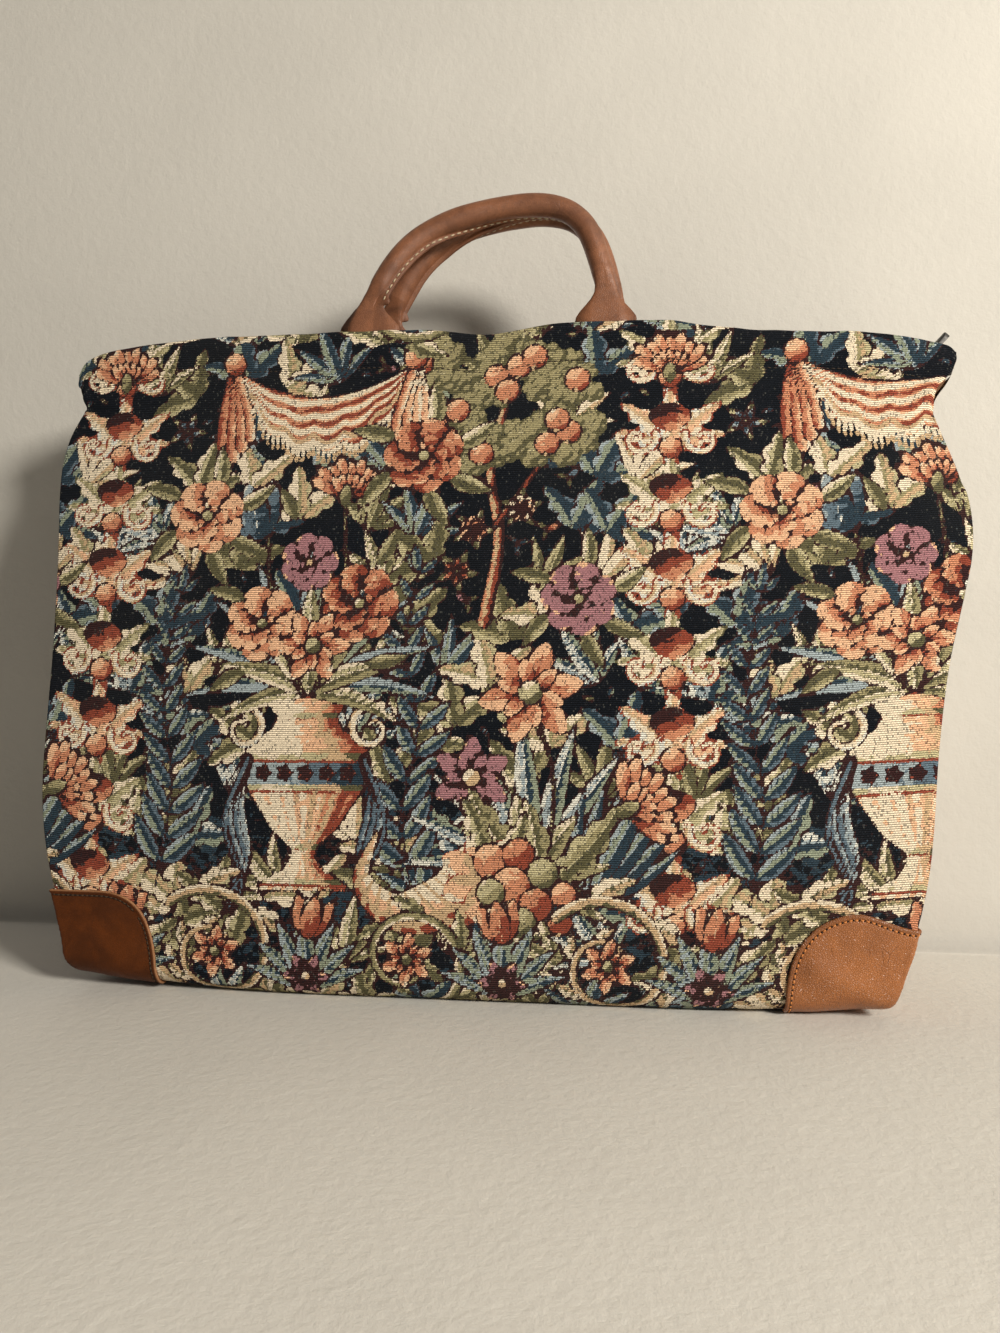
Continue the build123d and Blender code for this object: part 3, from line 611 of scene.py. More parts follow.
def cornucopia(cloth, x, y):
    """A curled horn lying on its side, spilling fruit and flowers."""
    spine = near(x, y, (-62, 40), (-70, 14), (-50, -4), (-20, 2), (0, 16), n=60)
    widths = np.interp(np.linspace(0, 1, len(spine)), [0, 0.25, 0.6, 1.0], [4, 12, 28, 44])
    cloth.stroke(spine, widths, [BRICK, GOLD, PEACH, CREAM, CREAM], stripe=(8.5, GOLD))
    for k in range(7):
        cloth.petal(x + 2, y + 17, k * 0.9, 27, 17, [GOLD, PEACH, CREAM], BRICK, 1.3)
    for dx, dy, a in ((22, 28, 0.9), (34, 6, 0.1), (14, -8, -0.9), (4, 42, 1.7)):
        cloth.leaf(x + dx * 0.5, y + dy * 0.5 + 8, a, 36, 16, *LIMES, lobes=3)
    kinds = (
        ([BRICK, SALMON, SALMON, PEACH, CREAM], GOLD),
        ([BRICK, BRICK, SALMON, PEACH], GOLD),
        ([OLIVE, KHAKI, LIME, CREAM], OLIVE),
    )
    for dx, dy, r, kind in (
        (6, 26, 11, 0), (22, 30, 10, 1), (18, 12, 12, 0), (36, 20, 9.5, 2), (32, 2, 10, 1),
        (6, 8, 9, 2), (48, 8, 8, 0), (24, -8, 9, 2), (46, -8, 7.5, 1),
    ):
        cloth.fruit(x + dx, y + dy, r, *kinds[kind])


def acanthus(cloth, x, y, hand, kind):
    """A running scroll of lobed leaves with a flower at its heart."""
    path = spiral(x, y, 40, -hand * 2.4, 1.35, hand, n=60, inner=0.22)
    for k in range(4, 50, 7):
        d = path[k + 1] - path[k]
        s = 30 * (1 - k / 90)
        turn = np.arctan2(d[1], d[0]) - hand * 0.75
        cloth.leaf(*path[k], turn, s, s * 0.55, *kind, lobes=3, bend=0.4 * hand)
    cloth.stroke(path, 7.5, [kind[1][0], kind[0][0], kind[0][-1]], taper=0.45)
    cloth.daisy(x, y, 17, 6, CORALS, HEARTS, 0.4)


def frieze(cloth):
    """Scrolls, leaves and rosettes along the foot of the repeat."""
    y = 34.0
    for k, hand in enumerate((-1, 1, -1)):
        x = 30.0 + k * REPEAT_X / 3
        acanthus(cloth, x, y, hand, LIMES if k == 1 else (PALES[0], [OLIVE, GOLD, LIME]))
        cloth.spray(x + 56, y - 22, UP, 52, 7, MISTS, 0.9, 0.24)
        cloth.tulip(x + 57, y + 10, UP + 0.2 * hand, 30, CORALS[:3], [GOLD, CREAM])
        cloth.daisy(x + 56, y - 12, 15, 6, [PLUM, ROSE, PEACH], [GOLD, CREAM], k)


def sprig(cloth, rng, x, y, size, pick, tones, turn):
    """A small flower with its leaves, a bud on two leaves or one leaf, by its size."""
    if size > 14:
        spread = [turn + k * 1.256 for k in range(5)]
        cloth.leaves(x, y, spread, size * 0.98, size * 0.44, pick, lobes=3 if size > 18 else 0)
        if rng.random() < 0.75:
            cloth.daisy(x, y, size * 0.62, 5 + int(rng.integers(3)), tones, HEARTS, turn)
        else:
            cloth.rose(x, y, size * 0.6, tones[-3:] + tones[-1:], HEARTS, turn)
    elif size > 8:
        cloth.leaf(x, y, turn, size * 0.95, size * 0.42, *pick, bend=0.2)
        cloth.leaf(x, y, turn + 2.2, size * 0.8, size * 0.4, *pick, bend=-0.2)
        if rng.random() < 0.5:
            cloth.petal(x, y, turn - 2.0, size * 0.9, size * 0.55, tones, PLUM, 0.8)
        else:
            cloth.leaf(x, y, turn - 2.0, size * 0.9, size * 0.4, *pick, bend=0.2)
    elif rng.random() < 0.6:
        px, py = x - size * 0.4 * np.cos(turn), y - size * 0.4 * np.sin(turn)
        cloth.leaf(px, py, turn, size * 1.3, size * 0.6, *pick, bend=0.15)


def fill_ground(cloth):
    """Sprigs, buds and small flowers in whatever ground is still bare."""
    rng = np.random.default_rng(29)
    leaves = (SAGES, KHAKIS, LIMES, TEALS, KHAKIS)
    blooms = (CORALS, [PLUM, ROSE, PEACH], SKIES, [BRICK, SALMON, SALMON, PEACH], [GOLD, PEACH, CREAM])
    for size, tries, bare in ((21, 900, 0.9), (15, 1500, 0.92), (10, 2400, 0.95), (7, 2200, 0.97)):
        for _ in range(tries):
            x, y = rng.random() * REPEAT_X, rng.random() * REPEAT_Y
            X, Y, c = cloth.window(x - size, x + size, y - size, y + size)
            close = np.hypot(X - x, Y - y) < size * 0.95
            if np.isin(cloth.yarn[c][close], (GROUND, NAVY, PLUM)).mean() >= bare:
                pick, tones = leaves[rng.integers(5)], blooms[rng.integers(5)]
                sprig(cloth, rng, x, y, size, pick, tones, rng.random() * 6.28)


def tapestry():
    """One repeat of the whole design."""
    cloth = Cloth()
    ground(cloth)
    undergrowth(cloth)
    candelabrum(cloth, 300, 58, 418)
    fruit_tree(cloth, 196, 232)
    for places in (
        ((150, 70), (143, 120), (152, 168), (143, 214), (150, 262)),
        ((342, 70), (350, 130), (342, 190), (350, 250)),
    ):
        cloth.fern(curve(*places, n=14), 34, MISTS[0], [NAVY, SLATE])
    lily_bank(cloth, 222, 78)
    swag(cloth, 84, 400, 118, 52, CORALS, [GOLD, CREAM])
    urn(cloth, 84, 72)
    bouquet(cloth, 84, 192)
    cornucopia(cloth, 190, 66)
    for x, y, r, tones in ((150, 338, 26, EMBERS), (246, 246, 23, MAUVES), (14, 300, 25, PEACHES)):
        for a in (0.3, 1.3, 2.6, 3.7, 4.9, 5.6):
            px, py = x + r * 0.8 * np.cos(a), y + r * 0.8 * np.sin(a)
            cloth.leaf(px, py, a, r * 1.15, r * 0.5, *(KHAKIS if int(a * 2) % 2 else LIMES), bend=0.3)
        cloth.rose(x, y, r, tones, [KHAKI, LIME], 0.4)
    frieze(cloth)
    fill_ground(cloth)
    return cloth


# Shader graphs


class Graph:
    """Short hand for laying out the nodes of a material or a group."""

    def __init__(self, tree):
        self.tree = tree
        self.count = 0

    def put(self, socket, value):
        if isinstance(value, bpy.types.NodeSocket):
            self.tree.links.new(value, socket)
        else:
            socket.default_value = value

    def node(self, kind, inputs=None, **settings):
        made = self.tree.nodes.new("ShaderNode" + kind)
        made.location = (self.count % 12 * 200, -(self.count // 12) * 260)
        self.count += 1
        for key, value in settings.items():
            setattr(made, key, value)
        for key, value in (inputs or {}).items():
            self.put(made.inputs[key], value)
        return made

    def attribute(self, name):
        return self.node("Attribute", attribute_name=name)

    def math(self, operation, a, b=0.0, c=0.0, clamp=False):
        return self.node("Math", {0: a, 1: b, 2: c}, operation=operation, use_clamp=clamp).outputs[0]

    def times(self, a, b, clamp=False):
        return self.math("MULTIPLY", a, b, clamp=clamp)

    def plus(self, a, b):
        return self.math("ADD", a, b)

    def minus(self, a, b):
        return self.math("SUBTRACT", a, b)

    def fit(self, value, gain, offset):
        return self.math("MULTIPLY_ADD", value, gain, offset)

    def mix(self, factor, a, b, blend="MIX"):
        inputs = {0: factor, 6: a, 7: b}
        return self.node("Mix", inputs, data_type="RGBA", blend_type=blend, clamp_factor=True).outputs[2]

    def shaded(self, colour, shade):
        """A colour darkened or lightened by one value."""
        grey = self.node("CombineColor", {0: shade, 1: shade, 2: shade}).outputs[0]
        return self.mix(1.0, colour, grey, "MULTIPLY")

    def ramp(self, factor, stops, interpolation="LINEAR"):
        made = self.node("ValToRGB", {0: factor})
        made.color_ramp.interpolation = interpolation
        elements = made.color_ramp.elements
        while len(elements) < len(stops):
            elements.new(1.0)
        for element, (position, colour) in zip(elements, stops):
            element.position = position
            element.color = (*colour, 1.0)
        return made.outputs[0]

    def span(self, value, low, high, to_low=0.0, to_high=1.0):
        inputs = {0: value, 1: low, 2: high, 3: to_low, 4: to_high}
        return self.node("MapRange", inputs, interpolation_type="SMOOTHSTEP").outputs[0]

    def noise(self, vector, scale, detail=3.0, rough=0.55, distortion=0.0):
        inputs = {"Vector": vector, "Scale": scale, "Detail": detail}
        inputs |= {"Roughness": rough, "Distortion": distortion}
        return self.node("TexNoise", inputs).outputs[0]

    def object_at(self, scale=(1.0, 1.0, 1.0)):
        """Object coordinates, stretched."""
        place = self.node("TexCoord").outputs["Object"]
        return self.node("VectorMath", {0: place, 1: scale}, operation="MULTIPLY").outputs[0]


def new_group(name, inputs, outputs):
    """An empty node group with its sockets, its inputs' node and its outputs' node."""
    tree = bpy.data.node_groups.new(name, "ShaderNodeTree")
    for label, kind, default in inputs:
        socket = tree.interface.new_socket(label, in_out="INPUT", socket_type="NodeSocket" + kind)
        socket.default_value = default
    for label, kind in outputs:
        tree.interface.new_socket(label, in_out="OUTPUT", socket_type="NodeSocket" + kind)
    source = tree.nodes.new("NodeGroupInput")
    source.location = (-300, 0)
    sink = tree.nodes.new("NodeGroupOutput")
    sink.location = (2600, 0)
    return Graph(tree), source.outputs, sink.inputs


def group_tapestry():
    """Yarn colours and thread relief of the tapestry, with painted shade in its grooves, from the cloth's
    attributes.
    """
    g, given, out = new_group(
        "Tapestry Weave",
        [
            ("Rib Pitch", "Float", 1.25),
            ("Warp Pitch", "Float", 0.8),
            ("Raggedness", "Float", 0.3),
            ("Fade", "Float", 0.06),
        ],
        [("Color", "Color"), ("Height", "Float"), ("Roughness", "Float")],
    )
    u, v, _ = g.node("SeparateXYZ", {0: g.attribute("thread").outputs["Vector"]}).outputs
    rib = g.math("DIVIDE", v, given["Rib Pitch"])
    row = g.math("FLOOR", rib)
    stagger = g.times(g.math("MODULO", row, 2.0), 0.5)
    warp = g.plus(g.math("DIVIDE", u, given["Warp Pitch"]), stagger)
    column = g.math("FLOOR", warp)
    cell = g.node("CombineXYZ", {0: column, 1: row, 2: 0.0}).outputs[0]
    white = g.node("TexWhiteNoise", {"Vector": cell}, noise_dimensions="2D")
    chance = white.outputs["Value"]
    tint = g.node("SeparateColor", {0: white.outputs["Color"]}).outputs
    # The yarn with the greatest weight wins each thread, after a little luck
    best, index = None, None
    for k in range(16):
        if k % 4 == 0:
            four = g.attribute("yarn_" + "abcd"[k // 4])
            parts = g.node("SeparateColor", {0: four.outputs["Color"]}).outputs
            weights = [parts[0], parts[1], parts[2], four.outputs["Alpha"]]
        luck = g.math("FRACT", g.times(chance, 7.31 + 3.77 * k))
        weight = g.fit(luck, given["Raggedness"], weights[k % 4])
        if best is None:
            best, index = weight, 0.0
            continue
        newer = g.math("GREATER_THAN", weight, best)
        best = g.math("MAXIMUM", weight, best)
        index = g.node("Mix", {0: newer, 2: index, 3: float(k)}, data_type="FLOAT").outputs[0]
    stops = [(k / 16, colour) for k, colour in enumerate(YARNS)]
    yarn = g.ramp(g.math("DIVIDE", g.plus(index, 0.5), 16.0), stops, "CONSTANT")
    strand = g.node("CombineXYZ", {0: g.times(u, 0.045), 1: g.times(row, 0.83), 2: 0.0}).outputs[0]
    strand = g.noise(strand, 1.0, 2.0)
    level = g.fit(strand, 0.5, 0.76)
    level = g.fit(tint[0], 0.24, g.minus(level, 0.12))
    fleck = g.math("GREATER_THAN", tint[1], 0.962)
    pale = g.mix(0.35, yarn, (0.16, 0.16, 0.14, 1))
    coloured = g.mix(g.times(fleck, 0.75), yarn, pale)
    dot = g.math("GREATER_THAN", tint[2], 0.925)
    coloured = g.mix(g.times(dot, 0.6), coloured, (0.02, 0.02, 0.024, 1))
    across = g.fit(g.math("FRACT", rib), 2.0, -1.0)
    hump = g.minus(1.0, g.math("POWER", g.math("ABSOLUTE", across), 2.4))
    along = g.fit(g.math("FRACT", warp), 2.0, -1.0)
    bead = g.minus(1.0, g.times(g.times(along, along), 0.45))
    height = g.times(hump, bead)
    # Each thread's own tone, times painted shade: the grooves between the ribs and beads are painted darker
    shade = g.times(level, g.fit(height, 1.16, 0.2))
    coloured = g.shaded(coloured, shade)
    dust = g.noise(g.object_at(), 9.0, 4.0)
    faded = g.times(g.span(dust, 0.4, 0.75), given["Fade"])
    g.put(out["Color"], g.mix(faded, coloured, (0.42, 0.38, 0.3, 1)))
    g.put(out["Height"], g.fit(g.minus(tint[0], 0.5), 0.25, height))
    g.put(out["Roughness"], g.fit(tint[1], 0.1, 0.86))
    return g.tree


def group_leather():
    """Grain, mottling and creases of leather, from a light and a dark shade, with painted shade in the
    creases.
    """
    g, given, out = new_group(
        "Leather Hide",
        [
            ("Light", "Color", (0.4, 0.2, 0.08, 1)),
            ("Dark", "Color", (0.1, 0.04, 0.015, 1)),
            ("Mottle", "Float", 0.6),
            ("Grain", "Float", 1.0),
        ],
        [("Color", "Color"), ("Height", "Float"), ("Roughness", "Float")],
    )
    place = g.object_at()
    clouds = g.noise(place, 34.0, 5.0, 0.6, 0.6)
    stains = g.noise(place, 110.0, 4.0, 0.65, 0.3)
    amount = g.fit(g.minus(clouds, 0.5), 1.5, 0.5)
    amount = g.fit(g.minus(stains, 0.5), 0.7, amount)
    amount = g.times(g.span(amount, 0.15, 0.9), given["Mottle"], clamp=True)
    pores = g.node("TexVoronoi", {"Vector": place, "Scale": 900.0}, feature="DISTANCE_TO_EDGE")
    pore = g.span(pores.outputs["Distance"], 0.0, 0.22)
    fine = g.noise(place, 1500.0, 3.0)
    long = {"Vector": g.object_at((1.0, 1.0, 0.45)), "Scale": 120.0}
    crease = g.node("TexVoronoi", long, feature="DISTANCE_TO_EDGE")
    creased = g.minus(1.0, g.span(crease.outputs["Distance"], 0.0, 0.035))
    creased = g.times(creased, g.span(g.noise(place, 60.0, 2.0), 0.5, 0.7))
    coloured = g.mix(amount, given["Light"], given["Dark"])
    coloured = g.mix(g.times(g.minus(1.0, pore), 0.3), coloured, given["Dark"])
    # Painted shade in the creases: their colour is pulled towards the dark shade
    coloured = g.mix(g.times(creased, 0.45), coloured, given["Dark"])
    relief = g.fit(pore, 0.6, g.times(fine, 0.35))
    relief = g.minus(relief, g.times(creased, 0.8))
    g.put(out["Color"], coloured)
    g.put(out["Height"], g.times(relief, given["Grain"]))
    g.put(out["Roughness"], g.fit(amount, 0.2, g.fit(fine, 0.12, 0.4)))
    return g.tree


def group_cloth():
    """A plain close weave for the linings, tapes and facings."""
    g, given, out = new_group(
        "Plain Weave",
        [("Color", "Color", (0.1, 0.05, 0.03, 1)), ("Threads per Metre", "Float", 1600.0)],
        [("Color", "Color"), ("Height", "Float")],
    )
    place = g.node("SeparateXYZ", {0: g.object_at()})
    turns = g.times(given["Threads per Metre"], 2 * math.pi)
    across = g.plus(place.outputs[0], g.times(place.outputs[1], 0.83))
    a = g.math("SINE", g.times(across, turns))
    b = g.math("SINE", g.times(place.outputs[2], turns))
    weave = g.fit(g.times(a, b), 0.5, 0.5)
    slub = g.noise(g.object_at((1.0, 1.0, 6.0)), 120.0, 3.0)
    # Painted shade between the threads, where the weave is low, over the slubs' own tone
    shade = g.fit(weave, 0.35, g.fit(slub, 0.5, 0.5))
    g.put(out["Color"], g.shaded(given["Color"], shade))
    g.put(out["Height"], weave)
    return g.tree


def shared(name, maker):
    return bpy.data.node_groups.get(name) or maker()


def material(name):
    """A material with an empty graph round its Principled shader."""
    made = bpy.data.materials.new(name)
    made.use_nodes = True
    return made, Graph(made.node_tree)


def finish_material(g, colour, roughness, height, distance, **more):
    """Joins a graph's colour, roughness and height to its Principled shader."""
    principled = g.tree.nodes["Principled BSDF"]
    bump = g.node("Bump", {"Height": height, "Distance": distance, "Strength": 1.0})
    more |= {"Base_Color": colour, "Roughness": roughness, "Normal": bump.outputs[0]}
    for key, value in more.items():
        g.put(principled.inputs[key.replace("_", " ")], value)


def two_shades(g, amount, colour, share):
    """A colour that turns into a share of itself."""
    return g.mix(amount, (*colour, 1), (*[c * share for c in colour], 1))


def tapestry_material(settings):
    made, g = material("Tapestry")
    weave = g.node("Group", node_tree=shared("Tapestry Weave", group_tapestry))
    weave.inputs["Rib Pitch"].default_value = settings.rib_pitch / MM
    weave.inputs["Raggedness"].default_value = settings.raggedness
    weave.inputs["Fade"].default_value = settings.fade
    woven = weave.outputs
    finish_material(
        g, woven["Color"], woven["Roughness"], woven["Height"], 0.0005,
        Sheen_Weight=0.015, Sheen_Roughness=0.6, Specular_IOR_Level=0.06,
    )
    return made


def leather_material(name, light, dark, mottle, grain, gloss, rim, shine=0.45):
    """Leather whose edge takes a colour over so many mm, by so much, from the mesh's rim."""
    made, g = material(name)
    edge_colour, reach, strength = rim
    inputs = {"Light": (*light, 1), "Dark": (*dark, 1), "Mottle": mottle, "Grain": grain}
    hide = g.node("Group", inputs, node_tree=shared("Leather Hide", group_leather)).outputs
    edge = g.span(g.attribute("rim").outputs["Fac"], 0.3, reach)
    colour = g.mix(g.times(g.minus(1.0, edge), strength), hide["Color"], (*edge_colour, 1))
    rough = g.minus(hide["Roughness"], gloss)
    finish_material(g, colour, rough, hide["Height"], 0.00013, Specular_IOR_Level=shine)
    return made


def cloth_material(name, colour, threads):
    made, g = material(name)
    inputs = {"Color": (*colour, 1), "Threads per Metre": threads}
    woven = g.node("Group", inputs, node_tree=shared("Plain Weave", group_cloth)).outputs
    finish_material(g, woven["Color"], 0.9, woven["Height"], 0.00015, Specular_IOR_Level=0.2)
    return made


def metal_material(name, colour):
    made, g = material(name)
    wear = g.noise(g.object_at(), 420.0, 4.0)
    dull = g.noise(g.object_at(), 60.0, 3.0)
    shade = two_shades(g, g.span(wear, 0.45, 0.8), colour, 0.45)
    finish_material(g, shade, g.fit(dull, 0.3, 0.28), wear, 0.00005, Metallic=0.9)
    return made


def thread_material(name, colour):
    made, g = material(name)
    twist = g.noise(g.object_at(), 2600.0, 2.0)
    shade = two_shades(g, g.span(twist, 0.3, 0.75), colour, 0.5)
    finish_material(g, shade, 0.75, twist, 0.0001, Specular_IOR_Level=0.3)
    return made


# How much lighter the paint is than the wall colour in the settings
PAINT_GAIN = 1.12
# Height above the floor as a share of 40 mm, and the painted shade that evens out the glow where the foot
# turns to the light
FOOT_SHADES = (
    (0.0, 1.0), (0.005, 0.85), (0.021, 0.78), (0.048, 0.73), (0.145, 0.72), (0.35, 0.82), (1.0, 0.893),
)


def wall_material(name, colour):
    """Plaster that hides nothing from behind, with painted shade where it turns up from the floor."""
    made, g = material(name)
    place = g.object_at()
    cloud, trowel = g.noise(place, 5.0, 3.0), g.noise(place, 140.0, 5.0, 0.65)
    shade = two_shades(g, g.span(cloud, 0.35, 0.7), [c * PAINT_GAIN for c in colour], 0.94)
    rise = g.node("SeparateXYZ", {0: place}).outputs[2]
    stops = [(share, (level, level, level)) for share, level in FOOT_SHADES]
    foot = g.ramp(g.math("DIVIDE", rise, 0.04, clamp=True), stops)
    shade = g.mix(1.0, shade, foot, "MULTIPLY")
    finish_material(g, shade, 0.88, trowel, 0.0006, Specular_IOR_Level=0.25)
    behind = g.node("NewGeometry").outputs["Backfacing"]
    hidden = g.math("MAXIMUM", behind, g.node("LightPath").outputs["Is Shadow Ray"])
    plaster, clear = g.tree.nodes["Principled BSDF"].outputs[0], g.node("BsdfTransparent").outputs[0]
    both = g.node("MixShader", {0: hidden, 1: plaster, 2: clear}).outputs[0]
    g.put(g.tree.nodes["Material Output"].inputs["Surface"], both)
    return made


# Cloth panels


UNDER_RADIUS = 13.0 * MM  # roll between the panels and the bag's underside
SEAM_Y, HALF_DEPTH = -0.0478, 0.0655  # the base's seam and the panel's face, at the foot
EAR_LEFT, EAR_RIGHT = 384.0 * MM, 379.8 * MM  # heights of the top edge's two ends
TABS = (-78.0, 71.0)  # x of the handles' tabs, mm
# Height of the top edge at each x, mm
TOP_X = [-275, -255, -230, -60, -8, 50, 100, 225, 264, 278]
TOP_Z = [384, 400, 405, 407, 401.5, 406, 404, 395, 388, 380]
# Folds that run in from the dents under the ears: x, z, turn and length
EAR_FOLDS = (
    (-272, 366, -0.5, 62), (-272, 366, 0.25, 40),
    (268, 354, 0.62, 76), (268, 354, -0.2, 50), (268, 354, 1.05, 46),
)
# How a panel's side edge rolls back towards its gusset, outwards and inwards, mm
SIDE_ROLL = ((0.6, 0.4), (0.8, 1.2), (0.4, 2.2), (-0.8, 3.2))
# How its top edge turns over the facing, inwards and upwards, mm
TOP_ROLL = ((0.15, 0.35), (0.9, 0.8), (2.0, 0.9), (3.2, 0.6), (4.0, -0.3), (4.1, -3.0), (4.1, -8.0))
ROLLED = np.array([0.7, 1.6, 2.8, 4.2])  # cloth used up by the side roll, mm
STITCH_DROP = 23.0  # topstitching below the top edge, mm


def floor_height(x):
    """Height of the bag's underside at x, as in the part."""
    return np.maximum(0.0, 8.0 * (np.maximum(0.0, np.abs(x) / MM - 105.0) / 128.0) ** 2 - 0.5) * MM


def filled(grid):
    """Fills the points that rays missed in each row, from the rest of the row."""
    at = np.arange(grid.shape[1])
    for row in grid:
        good = ~np.isnan(row[:, 1])
        if good.any() and not good.all():
            for axis in range(3):
                row[~good, axis] = np.interp(at[~good], at[good], row[good, axis])
    return grid


def smoothed(grid, passes):
    for _ in range(passes):
        grid[:, 1:-1] = (grid[:, :-2] + 2 * grid[:, 1:-1] + grid[:, 2:]) / 4
        grid[1:-1] = (grid[:-2] + 2 * grid[1:-1] + grid[2:]) / 4
    return grid


def panel_points(step):
    """Grid on the outer face of the front panel: rows from the base's seam to the top edge."""
    tree = tree_of("front_panel")
    count = int(0.556 / step) + 1
    s = np.linspace(0, 1, count)
    margin = 0.4 * MM

    def ends(left_z, right_z, inset=margin):
        """The panel's x at every column, between its two edges at given heights."""
        left = crossings("front_panel", 2, 0, [left_z])[0][0] + inset
        right = crossings("front_panel", 2, 0, [right_z])[1][0] - inset
        return left + s * (right - left)

    top_x = ends(EAR_LEFT, EAR_RIGHT)
    top_z = crossings("front_panel", 0, 2, top_x)[1] - 0.05 * MM
    rows = int((TOP - UNDER_RADIUS) / step)
    turn = max(6, int(UNDER_RADIUS * 1.57 / step))
    under = max(3, int(0.0055 / step) + 1)
    points = []
    low = floor_height(0.238) + 0.3 * MM
    for k in range(under):
        y = np.full(count, SEAM_Y - 0.0048 * k / under)
        origin = np.column_stack([ends(low, low, 0.6 * MM), y, np.full(count, -0.05)])
        points.append(cast(tree, origin, (0, 0, 1)))
    for k in range(turn):
        angle = math.pi / 2 * (1 - (k + 0.5) / turn)
        low = max(floor_height(0.245) + UNDER_RADIUS * (1 - math.sin(angle)), 9.0 * MM)
        x = ends(low, low)
        direction = np.array([0, math.cos(angle), math.sin(angle)])
        y = np.full(count, UNDER_RADIUS - HALF_DEPTH)
        centre = np.column_stack([x, y, floor_height(x) + UNDER_RADIUS])
        points.append(cast(tree, centre - 0.06 * direction, direction, 0.1))
    foot_z = floor_height(0.25) + UNDER_RADIUS
    for k in range(rows + 1):
        t = k / rows
        x = top_x if k == rows else ends(foot_z + t * (top_z[0] - foot_z), foot_z + t * (top_z[-1] - foot_z))
        bottom = floor_height(x) + UNDER_RADIUS
        z = bottom + t * (np.interp(x, top_x, top_z) - bottom)
        points.append(cast(tree, np.column_stack([x, np.full(count, -0.2), z]), (0, 1, 0)))
    return smoothed(filled(np.array(points)), 1), under + turn


def creases(x, z, seed, fullness):
    """How far the cloth stands off its flat form at x and z, all in millimetres."""
    broad = waves(seed, 9, 70.0, 260.0)
    small = waves(seed + 1, 12, 18.0, 60.0)
    pucker = waves(seed + 2, 14, 6.0, 16.0)
    lift = 0.9 + 0.85 * broad(x, z * 0.75) + 0.28 * small(x, z)
    # The cloth hangs from the handles' tabs, so it is drawn tight there and sags between
    fall = np.clip((400 - z) / 150, 0, 1)
    for tab in TABS:
        pull = bell(x, tab + 30 * fall * np.sign(x - tab), 16 + 26 * fall)
        lift += 0.7 * pull * np.exp(-fall * 2.2) * (fall > 0)
    lift += 0.8 * bell(z, 318 + 14 * np.sin(x / 70.0), 11) * bell(x, 20, 130)
    lift -= 0.5 * bell(z, 292 + 12 * np.sin(x / 60.0), 14) * bell(x, 30, 120)
    for ear_x, ear_z, turn, length in EAR_FOLDS:
        inward = -np.sign(ear_x)
        along = (x - ear_x) * inward * math.cos(turn) - (z - ear_z) * math.sin(turn)
        off = (x - ear_x) * inward * math.sin(turn) + (z - ear_z) * math.cos(turn)
        reach = np.clip(along / length, 0, 1)
        fade = np.where((along > 0) & (reach < 1), (1 - reach) ** 1.2, 0)
        lift += fade * (1.5 * bell(off, 6, 5) - 1.3 * bell(off, 0, 3.6))
    # Long soft folds down the sides, where the gussets pull the panel in
    lift += 1.1 * bell(x, 238 + 9 * np.sin(z / 55.0), 14) * bell(z, 215, 110)
    lift -= 0.6 * bell(x, 214 + 9 * np.sin(z / 55.0), 12) * bell(z, 215, 110)
    lift += 0.9 * bell(x, -246 + 6 * np.sin(z / 60.0), 13) * bell(z, 205, 120)
    drop = np.interp(x, TOP_X, TOP_Z) - z
    lift += pucker(x, z * 0.35) * (0.55 * bell(drop, STITCH_DROP, 13) + 0.35 * bell(drop, 4, 9))
    lift -= 0.75 * bell(drop, STITCH_DROP, 1.7)
    lift += 0.3 * bell(drop, 11, 8)
    # Flat where the leather lies and where the cloth is seamed
    left = np.clip(1 - np.maximum(x + 185, 0) / 26, 0, 1) * (x < 0)
    right = np.clip(1 - np.maximum(160 - x, 0) / 26, 0, 1) * (x > 0)
    lift *= fullness * (1 - (left + right) * (1 - np.clip((z - 64) / 26, 0, 1)))
    return lift * np.clip((z - 14) / 40, 0, 1) * np.clip(drop / 3.0 + 0.2, 0, 1)


def yarn_fields():
    """How much of each yarn lies near every cell of the repeat, softened over a few cells."""
    drawn = tapestry().yarn
    fields = np.empty((len(YARNS), *drawn.shape), np.float32)
    for k in range(len(YARNS)):
        field = (drawn == k).astype(np.float32)
        for axis in (0, 1, 0, 1):
            field = (field + np.roll(field, 1, axis) + np.roll(field, -1, axis)) / 3
        fields[k] = field
    return fields


def give_yarns(obj, u, v, fields):
    """Thread positions in mm and the yarns' weights, from a place in the repeat."""
    give(obj, "thread", np.column_stack([u, v, np.zeros(len(u))]), "FLOAT_VECTOR")
    a, b = u / STEP - 0.5, v / STEP - 0.5
    i, j = np.floor(a).astype(int), np.floor(b).astype(int)
    fa, fb = (a - i)[:, None], (b - j)[:, None]
    _, ny, nx = fields.shape

    def at(dj, di):
        return fields[:, (j + dj) % ny, (i + di) % nx].T

    weights = at(0, 0) * (1 - fa) * (1 - fb) + at(0, 1) * fa * (1 - fb)
    weights += at(1, 0) * (1 - fa) * fb + at(1, 1) * fa * fb
    for k, letter in enumerate("abcd"):
        give(obj, "yarn_" + letter, weights[:, 4 * k: 4 * k + 4], "FLOAT_COLOR")


